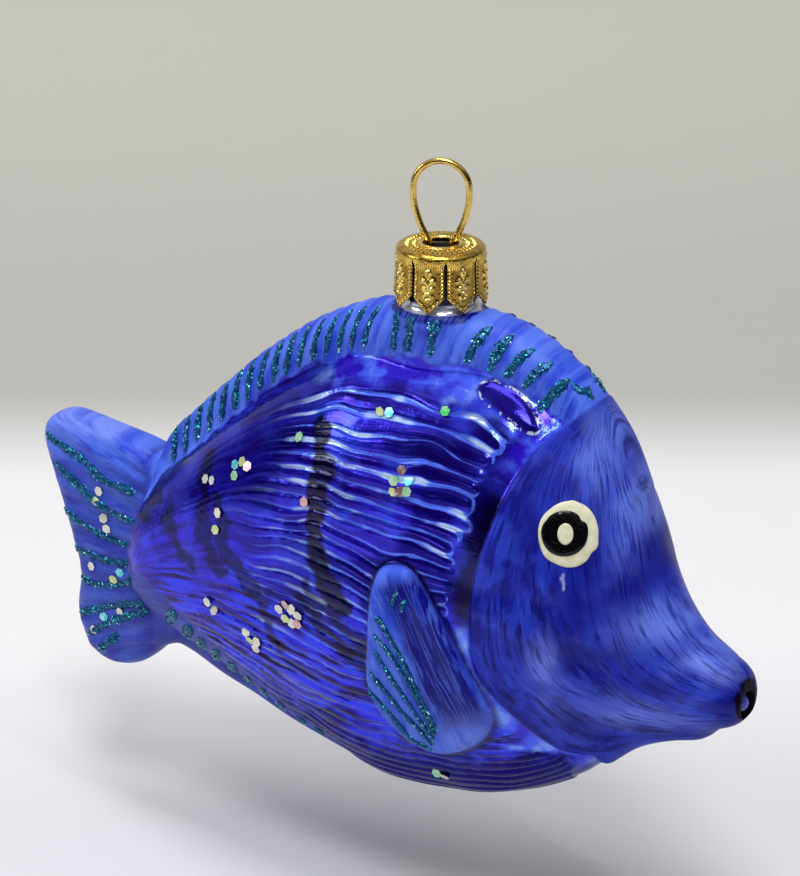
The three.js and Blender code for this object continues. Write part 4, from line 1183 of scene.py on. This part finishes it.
def bead(surface, path, width, height, side):
    """A bead of glue along a path of [x, z] places, with the middles and frames of its rings."""
    length = np.linalg.norm(np.diff(path, axis=0), axis=1).sum()
    places = rounded(path, max(6, int(length / BEAD_STEP)), False)
    feet = [surface.at(x, z, side) for x, z in places]
    middles = np.array([foot[0] for foot in feet])
    normals = np.array([foot[1] for foot in feet])
    for _ in range(2):
        normals[1:-1] = (normals[:-2] + normals[1:-1] * 2 + normals[2:]) / 4
    normals = unit(normals)
    aside = unit(np.cross(np.gradient(middles, axis=0), normals))
    angles = np.linspace(0, pi, 7)
    rings, sizes = [], []
    last = len(places) - 1
    for i, middle in enumerate(middles):
        full = min(1.0, 0.4 + 0.6 * min(i, last - i) / 2) * (0.62 + 0.55 * random.random())
        arc = [aside[i] * cos(a) * width / 2 * full + normals[i] * sin(a) * height * full for a in angles]
        sunk = [point - normals[i] * BEAD_SUNK for point in (arc[-1], arc[0])]
        rings.append(middle + np.array(arc + sunk))
        sizes.append(full)
    return loft(rings), (middles, normals, aside, sizes)


def grains(track, width, height):
    """Glitter grains strewn over a bead, each a small flat double pyramid with its own tone."""
    middles, normals, aside, sizes = track
    steps = np.linalg.norm(np.diff(middles, axis=0), axis=1)
    bodies, tones = [], []
    for _ in range(max(4, int(steps.sum() * width * GRAINS_PER_MM2))):
        i = random.integers(0, len(middles) - 1)
        t = random.random()
        middle = middles[i] * (1 - t) + middles[i + 1] * t
        off = (random.random() * 2 - 1) * 1.2
        lift = height * sizes[i] * math.sqrt(max(0.0, 1 - min(abs(off), 1.0) ** 2))
        centre = middle + aside[i] * off * width / 2 * sizes[i] + normals[i] * (lift + 0.03)
        facing = unit(normals[i] + aside[i] * off * 0.7 + random.normal(0, GRAIN_TILT, 3))
        first = unit(np.cross(facing, random.normal(0, 1, 3)))
        second = np.cross(facing, first)
        size = GRAIN_SIZE * (0.5 + 0.6 * random.random())
        corners = np.array([first, second, -first, -second]) * size / 2 * [[1], [0.8], [1], [0.8]]
        points = np.concatenate([corners, [facing * size * 0.14], [-facing * size * 0.14]]) + centre
        faces = [[0, 1, 4], [1, 2, 4], [2, 3, 4], [3, 0, 4], [1, 0, 5], [2, 1, 5], [3, 2, 5], [0, 3, 5]]
        bodies.append((points, faces))
        tones += [0.12 + 0.88 * random.random()] * 6
    return bodies, tones


def glitter(name, surface, lines, side, material):
    """Beads of glue with glitter along [path, width] lines."""
    bodies, tones = [], []
    for path, width in lines:
        glue, track = bead(surface, path, width, RAY_HEIGHT, side)
        bodies.append(glue)
        tones += [0.0] * len(glue[0])
        strewn, own = grains(track, width, RAY_HEIGHT)
        bodies += strewn
        tones += own
    made = mesh_object(name, *merged(bodies), material, flat=True)
    store(made.data, "spark", tones)
    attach(made, "glass")
    return made


def back_ray(upper, lower):
    top = [lengthwise(upper), line_z("crest", lengthwise(upper)) - RAY_TOP_DROP]
    foot = [lengthwise(lower), line_z("crest", lengthwise(lower)) - RAY_FOOT_DROP]
    t = np.linspace(0, 1, 5)
    eased = t * (0.55 + 0.45 * t)
    return np.stack([top[0] + (foot[0] - top[0]) * t, top[1] + (foot[1] - top[1]) * eased], axis=1)


def back_rays():
    rear = []
    for t in np.linspace(0, 1, REAR_RAYS):
        upper = REAR_RAY_SPAN[0] + (REAR_RAY_SPAN[1] - REAR_RAY_SPAN[0]) * t
        rear.append([upper, upper - REAR_RAY_LEAN * t])
    lines = [(back_ray(*ends), REAR_RAY_WIDTH) for ends in rear]
    lines += [(back_ray(*ends), FRONT_RAY_WIDTH) for ends in NECK_RAYS + FRONT_RAYS]
    return lines + [(np.array(leg), FRONT_RAY_WIDTH) for leg in CHEVRON]


# Drops of glitter on the belly fin: place and height of each
BELLY_DROPS = [
    [-44.0, -79.2, 3.2], [-41.2, -81.4, 3.8], [-39.0, -83.2, 3.4], [-36.6, -84.9, 4.2], [-33.6, -86.4, 3.6],
    [-30.8, -87.9, 2.6], [-27.8, -89.2, 2.6], [-24.1, -90.4, 1.8], [-20.0, -91.8, 1.2], [-16.5, -92.6, 1.4],
]


def belly_rays():
    lines = []
    for x, z, height in BELLY_DROPS:
        reach = np.array([0.45, 0.5]) * height
        lines.append((np.array([[x, z] + reach, [x, z], [x, z] - reach]), BELLY_RAY_WIDTH))
    return lines


TINTS = {
    "pearl": rgb(214, 214, 200), "rose": rgb(214, 160, 166), "mint": rgb(150, 215, 160),
    "aqua": rgb(60, 200, 214), "lime": rgb(200, 214, 136), "lilac": rgb(186, 180, 216),
    "green": rgb(70, 220, 110), "dusk": rgb(130, 92, 100),
}
CONFETTI = [
    [-3.6, -35.6, "lime"], [-2.0, -35.5, "aqua"], [7.0, -33.8, "green"],
    [2.2, -42.6, "dusk"], [1.0, -44.5, "mint"], [3.5, -44.0, "aqua"], [1.2, -45.9, "lime"],
    [2.4, -45.7, "dusk"], [3.6, -45.4, "mint"], [-17.2, -42.2, "mint"],
    [-29.5, -49.5, "aqua"], [-28.1, -48.7, "lime"], [-26.8, -49.0, "rose"], [-29.2, -51.0, "mint"],
    [-35.6, -53.4, "pearl"], [-34.0, -53.1, "pearl"], [-31.7, -57.3, "pearl"], [-31.9, -60.0, "lime"],
    [-14.3, -50.9, "rose"], [-34.0, -72.8, "pearl"], [-32.7, -74.0, "pearl"],
    [-26.4, -75.9, "pearl"], [-25.6, -77.0, "lime"], [-24.6, -78.2, "pearl"], [-24.2, -76.9, "pearl"],
    [-18.9, -69.4, "pearl"], [-17.7, -68.4, "rose"], [-16.5, -68.9, "pearl"], [-15.3, -69.5, "pearl"],
    [-17.8, -70.7, "lime"], [-16.6, -71.3, "pearl"], [-15.4, -71.0, "rose"],
    [6.0, -93.0, "mint"], [7.2, -93.3, "pearl"],
    [-62.0, -63.6, "pearl"], [-62.4, -65.3, "lime"], [-61.2, -68.2, "pearl"], [-60.4, -69.7, "pearl"],
    [-64.0, -77.3, "pearl"], [-58.0, -76.9, "aqua"], [-59.4, -78.4, "lime"],
    [-58.4, -84.1, "pearl"], [-61.8, -85.8, "aqua"], [-64.2, -88.8, "pearl"],
]


AROUND_A_FLAKE = [(0, 0), (1.5, 0), (-1.5, 0), (0, 1.5), (0, -1.5)]


def confetti(name, surface, places, side, material):
    bodies, tints = [], []
    angles = np.arange(6) * pi / 3
    for x, z, tint in places:
        around = [surface.at(x + dx, z + dz, side) for dx, dz in AROUND_A_FLAKE]
        foot = around[0][0]
        facing = np.mean([normal for _, normal in around], axis=0)
        facing = unit(facing + random.normal(0, FLAKE_TILT, 3))
        first = unit(np.cross(facing, [0, 0, 1]))
        second = np.cross(facing, first)
        turn = random.random() * pi
        size = FLAKE_SIZE * (0.92 + 0.16 * random.random())
        c, s = np.cos(angles + turn)[:, None], np.sin(angles + turn)[:, None]
        rings = []
        for share, lift in [(0.5, 0.0), (1.0, 0.0), (1.0, FLAKE_THICKNESS), (0.5, FLAKE_THICKNESS * 1.1)]:
            rings.append(foot + (first * c + second * s) * share * size / 2 + facing * (lift + FLAKE_LIFT))
        body = loft(rings)
        bodies.append(body)
        tints += [TINTS[tint]] * len(body[0])
    made = mesh_object(name, *merged(bodies), material, flat=True)
    store(made.data, "tint", np.array(tints), "FLOAT_COLOR")
    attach(made, "glass")


# Rings of a drop of enamel: shares of its radius and of its thickness
BLOB_LEVELS = [(1.0, 0.25), (0.985, 0.6), (0.94, 0.85), (0.8, 1.0), (0.5, 1.04), (0.2, 1.05)]


def enamel_blob(name, surface, middle, size, thickness, lumps, side, material, node_name, lift):
    """A drop of enamel with a wavy edge: rings from its sunk foot up to its middle."""
    angles = full_turn(80)
    wavy = 1 + sum(depth * np.exp(-(((angles - at + pi) % (2 * pi) - pi) / width) ** 2)
                   for at, width, depth in lumps)
    facing = surface.at(middle[0], middle[1], side)[1]
    foot = -0.25 if lift == 0 else 0.1
    rings = []
    for share, height in [(0.3, foot), (0.985, foot), *BLOB_LEVELS]:
        rise = height * thickness if height > 0.2 else height
        zs = middle[1] + np.sin(angles) * size[1] / 2 * wavy * share
        xs = middle[0] + np.cos(angles) * size[0] / 2 * wavy * share - EYE_SLANT * (zs - middle[1])
        rings.append(np.array([surface.at(x, z, side)[0] + facing * (rise + lift) for x, z in zip(xs, zs)]))
    made = mesh_object(name, *loft(rings), material)
    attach(made, "glass")
    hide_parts(node_name)


def mouth_nub(material):
    """The sealed end of the glass, a drop that stands in the mouth."""
    angles = np.linspace(0.1, pi - 0.1, 14)
    rings = []
    around = full_turn(28)
    for angle in angles:
        radius = NUB_RADIUS * sin(angle)
        x = np.full(len(around), snout_x - 0.02 - NUB_RADIUS * (1 - cos(angle)))
        rings.append(np.stack([x, radius * np.cos(around), snout_z + 0.1 + radius * np.sin(around)], axis=1))
    made = mesh_object("mouth_nub", *loft(rings), material)
    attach(made, "glass")


# The metal


def petal_relief(across, z, wide, end_z):
    """Rope border round a petal, with a drop, a flower and a ring down its middle."""
    to_side = wide * 0.95 - np.abs(across)
    to_point = (z - end_z) * 0.76
    to_edge = np.minimum(to_side, to_point)
    run = np.where(to_side < to_point, z, np.abs(across)) + 0.5 * to_edge
    line = np.exp(-(((to_edge - 0.34) / 0.20) ** 2))
    relief = 0.24 * line * (0.45 + 0.55 * np.cos(2 * pi * run / 0.56))
    middle = cap_top_z - 4.3
    flower_r = np.hypot(across, z - middle)
    flower_angle = np.arctan2(z - middle, np.abs(across))
    leaves = np.exp(-(((flower_r - 0.80) / 0.36) ** 2)) * np.cos(2 * (flower_angle - 0.6)) ** 2
    relief = relief + 0.34 * leaves * (np.abs(flower_angle) < 1.3) + 0.16 * np.exp(-((flower_r / 0.3) ** 2))
    stem = np.exp(-((across / 0.16) ** 2)) * ease(1.6, 1.4, np.abs(z - middle))
    drop = np.hypot(across * 1.1, (z - middle - 1.8) * (0.7 + 0.4 * (z > middle + 1.8)))
    loop = np.hypot(across, z - middle + 1.85)
    rays = np.cos(across * 9) ** 2 * ease(1.3, 0.9, cap_top_z - SLOT_START - z)
    relief = relief + 0.14 * stem + 0.34 * ease(0.68, 0.22, drop) + 0.12 * rays
    return relief + 0.28 * np.exp(-(((loop - 0.52) / 0.20) ** 2)) - 0.06


# The two rope rings on the cap's top: distance in from its edge, width, beads round it, turn
TOP_ROPES = [(1.55, 0.34, 36, 0), (0.55, 0.36, 44, 1)]


def cap_top_rows(angles_round):
    """Rings from the hole over its rim, the two rope rings and the shoulder."""
    radii = [HOLE_RADIUS, HOLE_RADIUS + 0.02, HOLE_RADIUS + 0.2, HOLE_RADIUS + 0.5, HOLE_RADIUS + 0.7]
    heights = [-0.35, 0.05, 0.26, 0.24, 0.04]
    rows = [(r, cap_top_z + h, 0.0) for r, h in zip(radii, heights)]
    for r in np.linspace(HOLE_RADIUS + 0.8, CAP_TOP_RADIUS - 0.1, 20):
        rows.append((r, cap_top_z, 1.0))
    for angle in np.linspace(0, pi / 2, 9):
        r = CAP_TOP_RADIUS + (CAP_UPPER_RADIUS - CAP_TOP_RADIUS) * sin(angle)
        rows.append((r, cap_top_z - CAP_SHOULDER * (1 - cos(angle)), 0.0))
    made = []
    for r, z, roped in rows:
        ropes = 0
        for inset, width, beads, turn in TOP_ROPES:
            near = math.exp(-(((r - CAP_TOP_RADIUS + inset) / width) ** 2))
            ropes = ropes + near * (0.3 + np.cos(angles_round * beads + turn))
        height = z + roped * 0.16 * ropes
        made.append(ring(r, angles_round, height))
    return made, [r for r, _, _ in rows]


PETAL_COLUMNS = 46
SKIRT_ROWS = 60


def skirt_rows(middles, across):
    """Rows of points down the petals, and how high the stamped relief is at each."""
    half_petal = pi / PETALS
    half_width = CAP_UPPER_RADIUS * half_petal
    start_z = cap_top_z - SLOT_START
    end_z = tip_z + PETAL_POINT * np.abs(across) ** 1.1
    rows, reliefs = [], []
    for i in range(1, SKIRT_ROWS + 1):
        t = i / SKIRT_ROWS
        z = start_z + (end_z - start_z) * t
        depth = (cap_top_z - CAP_SHOULDER - z) / (cap_top_z - CAP_SHOULDER - tip_z)
        radius = CAP_UPPER_RADIUS + (CAP_LOWER_RADIUS - CAP_UPPER_RADIUS) * depth
        angles = middles + across * (half_petal - SLOT_WIDTH / 2 / radius * ease(0.0, 0.04, t))
        relief = petal_relief(across * CAP_UPPER_RADIUS * half_petal, z, half_width, end_z)
        crown = PETAL_CROWN * np.abs(across) ** 2.4 + 0.10 * ease(0.9, 1.0, np.abs(across))
        out = radius - crown * ease(0, 0.15, t) + relief * ease(0, 0.08, t)
        rows.append(ring(out, angles, z))
        reliefs.append(relief)
    return rows, reliefs


def cap_faces(row_count, closed_rows):
    """Faces over the rows, with the slots between the petals left open below the closed rows."""
    per_row = PETALS * PETAL_COLUMNS
    faces = []
    for i in range(row_count - 1):
        for k in range(per_row):
            if i >= closed_rows - 1 and k % PETAL_COLUMNS == PETAL_COLUMNS - 1:
                continue
            here, below, after = i * per_row, (i + 1) * per_row, (k + 1) % per_row
            faces.append([here + k, below + k, below + after, here + after])
    return faces


def crown_cap(material):
    """The stamped cup: a grid of columns round it and rows from the hole to the tips of its petals."""
    across = np.tile(np.linspace(-1, 1, PETAL_COLUMNS), PETALS)
    middles = np.repeat(np.arange(PETALS) * 2 * (pi / PETALS), PETAL_COLUMNS)
    top, radii = cap_top_rows(middles + across * (pi / PETALS) * 0.998)
    on_top = [radius < CAP_TOP_RADIUS for radius in radii]
    reliefs = [np.clip((row[:, 2] - cap_top_z) * flat, -0.1, 0.15) for row, flat in zip(top, on_top)]
    skirt, skirt_reliefs = skirt_rows(middles, across)
    rows = top + skirt
    x, y, z = np.concatenate(rows).T
    turn = (cos(PETAL_TURN), sin(PETAL_TURN))
    spun = np.stack([x * turn[0] - y * turn[1], x * turn[1] + y * turn[0], z], axis=1)
    made = mesh_object("stamped_cap", spun, cap_faces(len(rows), len(top)), material)
    relief = np.concatenate(reliefs + skirt_reliefs)
    edge = np.abs(np.tile(across, len(rows)))
    # Painted highlight on the raised relief, painted shade in the hollows and along the petals' edges
    store(made.data, "relief", np.clip(relief / 0.20, 0, 1) * 0.6)
    store(made.data, "hollow_shade", np.clip(0.3 - relief / 0.12, 0, 0.6) + 0.3 * (edge > 0.97))
    sheet = made.modifiers.new("sheet", "SOLIDIFY")
    sheet.thickness = CAP_SHEET * MM
    sheet.offset = -1
    with_modifiers_applied(made)
    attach(made, "cap")
    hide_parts("crown_cap")


WIRE_STEPS = 220
WIRE_SIDES = 20


def hanger(material):
    bend = (LOOP_WIDTH - WIRE_DIAMETER) / 2
    middle_z = WIRE_DIAMETER / 2 - bend
    strand = STRAND_SPACING / 2
    leg = bore_radius - CLEARANCE - WIRE_DIAMETER / 2
    rise = middle_z - cap_top_z
    half = [
        [leg, cap_top_z - LEG_REACH],
        [leg, cap_top_z - LEG_REACH * 0.45],
        [leg * 0.93, cap_top_z - LEG_REACH * 0.27],
        [(leg + strand) / 2, cap_top_z - LEG_REACH * 0.15],
        [strand, cap_top_z - 0.48],
        [strand, cap_top_z + 0.24],
        [bend * 0.77, cap_top_z + rise * 0.36],
        [bend * 0.97, cap_top_z + rise * 0.70],
    ]
    arc = [[bend * cos(a), middle_z + bend * sin(a)] for a in np.linspace(0, pi, 9)]
    path = rounded(half + arc + [[-u, z] for u, z in reversed(half)], WIRE_STEPS, False)
    along = unit(np.gradient(path, axis=0))
    turn = np.array([cos(LOOP_TURN), sin(LOOP_TURN), 0])
    off_plane = np.array([-sin(LOOP_TURN), cos(LOOP_TURN), 0])
    rings = []
    for (u, z), (du, dz) in zip(path, along):
        middle = turn * u + np.array([0, 0, z])
        outward = -turn * dz + np.array([0, 0, du])
        circle = [outward * cos(a) + off_plane * sin(a) for a in full_turn(WIRE_SIDES)]
        rings.append(middle + np.array(circle) * WIRE_DIAMETER / 2)
    made = mesh_object("spring_wire", *loft(rings), material)
    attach(made, "hanger")
    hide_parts("hanger_wire")


# Assembly

skin = glass_skin()
skin_points = points_of(skin.data)
skin_field = skin_fields(skin_points)
move_points(skin.data, shape_skin(skin_points, normals_of(skin.data), skin_field))
paint_skin(skin.data, skin_points, skin_field)
lacquer = glass_material()
skin.data.materials.clear()
skin.data.materials.append(lacquer)
skin.data.shade_smooth()
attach(skin, "glass")
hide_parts("glass_body")

surface = Surface(skin)
teal = glitter_material()
foil = confetti_material()
cream = enamel_material("cream_enamel", rgb(216, 214, 184), rgb(200, 198, 164), 0.34, 0.25)
black = enamel_material("black_enamel", rgb(2, 2, 4), rgb(7, 7, 11), 0.14, 0.9)
eye_middle = [lengthwise(EYE_PLACE[0]), down_from_back(EYE_PLACE[1])]
fin_lines = [([fin_place(*place) for place in line], FIN_RAY_WIDTH) for line in FIN_LINES]
tail_lines = [([tail_place(*place) for place in line], TAIL_RAY_WIDTH) for line in TAIL_LINES]

# Lumps of the eyes' edges: direction, half angle and depth as a share of the radius
CREAM_LUMPS = [[0.9, 0.35, 0.02], [-0.35, 0.16, 0.05], [-0.62, 0.14, -0.04], [-1.2, 0.5, 0.03],
               [-2.4, 0.25, 0.05], [2.2, 0.3, -0.03], [1.45, 0.12, 0.03]]
BLACK_LUMPS = [[0.72, 0.16, -0.09], [0.45, 0.3, 0.04], [1.3, 0.4, 0.02], [2.5, 0.2, -0.03], [-2.2, 0.4, 0.03]]

EYE_LAYERS = [
    ("eye_cream", (0, 0), EYE_SIZE, 0.4, CREAM_LUMPS, cream, "eye_white", 0.0),
    ("eye_pupil", (-0.45, 0.1), PUPIL_SIZE, 0.28, BLACK_LUMPS, black, "eye_black", 0.36),
    ("eye_dot", (-0.3, 0.1), DOT_SIZE, 0.2, [], cream, "eye_glint", 0.60),
]

for side, name in ((-1, "right"), (1, "left")):
    rays = glitter(f"back_fin_glitter_{name}", surface, back_rays(), side, teal)
    numbers = range(1, REAR_RAYS + len(NECK_RAYS) + len(FRONT_RAYS) + 1)
    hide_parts(*[f"back_ray_{name}_{number:02d}" for number in numbers])
    fan = glitter(f"side_fin_glitter_{name}", surface, fin_lines, side, teal)
    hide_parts(f"fin_glitter_{name}")
    glitter(f"tail_glitter_{name}", surface, tail_lines, side, teal)
    glitter(f"belly_glitter_{name}", surface, belly_rays(), side, teal)
    places = CONFETTI if side < 0 else [[x + 1.5, z - 1.0, tint] for x, z, tint in CONFETTI]
    confetti(f"confetti_{name}", surface, places, side, foil)
    for piece, offset, size, thickness, lumps, enamel, node_name, lift in EYE_LAYERS:
        middle = [eye_middle[0] + offset[0], eye_middle[1] + offset[1]]
        enamel_blob(f"{piece}_{name}", surface, middle, size, thickness, lumps, side, enamel,
                    f"{node_name}_{name}", lift)

mouth_nub(enamel_material("blue_enamel", rgb(64, 76, 176), rgb(46, 54, 140), 0.12, 0.1))
crown_cap(gold_material("stamped_gold", rgb(246, 206, 96), rgb(176, 130, 44), 0.20, True))
hanger(gold_material("gold_wire", rgb(226, 194, 104), rgb(176, 138, 58), 0.15, False))

# Camera, floor and light

CAMERA_PLACE = (0.22213, -0.36684, 0.12614)
CAMERA_AZIMUTH = math.radians(32)
CAMERA_ELEVATION = math.radians(21.5)
LENS = 125.94
FLOOR_Z = -0.121
SWEEP = (-0.5, 0.55, 0.35, 1.6, 1.5)    # front end, depth, radius of the curve, height, half width
LIT_PLACE = (0, 0, -0.055)              # what the lamps point at

camera_data = bpy.data.cameras.new("camera")
camera_data.lens = LENS
camera_data.sensor_width = 36.0
camera_data.clip_end = 20.0
camera = bpy.data.objects.new("camera", camera_data)
camera.location = CAMERA_PLACE
camera.rotation_euler = (pi / 2 - CAMERA_ELEVATION, 0, CAMERA_AZIMUTH)
bpy.context.scene.collection.objects.link(camera)
bpy.context.scene.camera = camera


def sweep_material():
    material, tree, shader = new_material("pale_sweep")
    back = (-sin(CAMERA_AZIMUTH), cos(CAMERA_AZIMUTH), 0)
    place = node(tree, "TexCoord").outputs["Object"]
    depth = node(tree, "VectorMath", {"operation": "DOT_PRODUCT"}, i0=place, i1=back).outputs["Value"]
    # Tones by distance back from the camera: the front of the floor darker as painted shade, a brighter band
    # behind it, then a greyer wall
    tone = mixed(tree, stepped(tree, depth, 0.02, 0.10), rgb(214, 214, 219), rgb(230, 230, 233))
    tone = mixed(tree, stepped(tree, depth, 0.17, 0.23), tone, rgb(180, 179, 174))
    tone = mixed(tree, stepped(tree, depth, 0.26, 0.38), tone, rgb(190, 189, 182))
    dress(tree, shader, Base_Color=tone, Roughness=0.9)
    seen_behind = product(tree, node(tree, "NewGeometry").outputs["Backfacing"],
                          node(tree, "LightPath").outputs["Is Camera Ray"])
    clear = node(tree, "BsdfTransparent").outputs[0]
    surface = node(tree, "MixShader", i0=seen_behind, i1=shader.outputs[0], i2=clear).outputs[0]
    tree.links.new(surface, next(n for n in tree.nodes if n.type == "OUTPUT_MATERIAL").inputs["Surface"])
    return material


def backdrop():
    """A pale sweep: a floor that curves up into a wall behind the object."""
    front, depth, radius, height, half_width = SWEEP
    profile = [(front, 0.0), (depth - radius, 0.0)]
    profile += [(depth - radius + radius * sin(a), radius - radius * cos(a))
                for a in np.linspace(0.1, pi / 2, 16)]
    profile.append((depth, height))
    back = np.array([-sin(CAMERA_AZIMUTH), cos(CAMERA_AZIMUTH), 0])
    right = np.array([cos(CAMERA_AZIMUTH), sin(CAMERA_AZIMUTH), 0])
    vertices = []
    for along, up in profile:
        for sideways in (-half_width, half_width):
            vertices.append((back * along + right * sideways + np.array([0, 0, FLOOR_Z + up])) / MM)
    faces = [[2 * i, 2 * i + 1, 2 * i + 3, 2 * i + 2] for i in range(len(profile) - 1)]
    mesh_object("sweep", np.array(vertices), faces, sweep_material())


def lamp(name, place, size, power):
    data = bpy.data.lights.new(name, "AREA")
    data.shape = "RECTANGLE"
    data.size, data.size_y = size
    data.energy = power
    made = bpy.data.objects.new(name, data)
    made.location = place
    made.rotation_euler = (Vector(LIT_PLACE) - Vector(place)).to_track_quat("-Z", "Y").to_euler()
    bpy.context.scene.collection.objects.link(made)


def studio_world():
    """A room that is bright overhead and dimmer at the height of the eye."""
    world = bpy.data.worlds.new("studio")
    world.use_nodes = True
    tree = world.node_tree
    height = node(tree, "SeparateXYZ", i0=node(tree, "TexCoord").outputs["Generated"]).outputs[2]
    tone = mixed(tree, stepped(tree, height, 0.15, 0.80), (0.03, 0.03, 0.04, 1), (0.50, 0.50, 0.50, 1))
    connect(tree, tree.nodes["Background"].inputs[0], tone)
    bpy.context.scene.world = world


backdrop()
studio_world()
lamp("key", (0.25, -0.45, 0.75), (0.26, 0.26), 4.4)
lamp("fill", (-0.70, -0.60, 0.35), (0.35, 0.35), 1.9)
lamp("top", (-0.05, -0.10, 0.95), (0.7, 0.25), 4.4)
lamp("spark", (0.55, -0.25, 0.70), (0.03, 0.03), 0.45)
bpy.context.scene.view_settings.view_transform = "Standard"
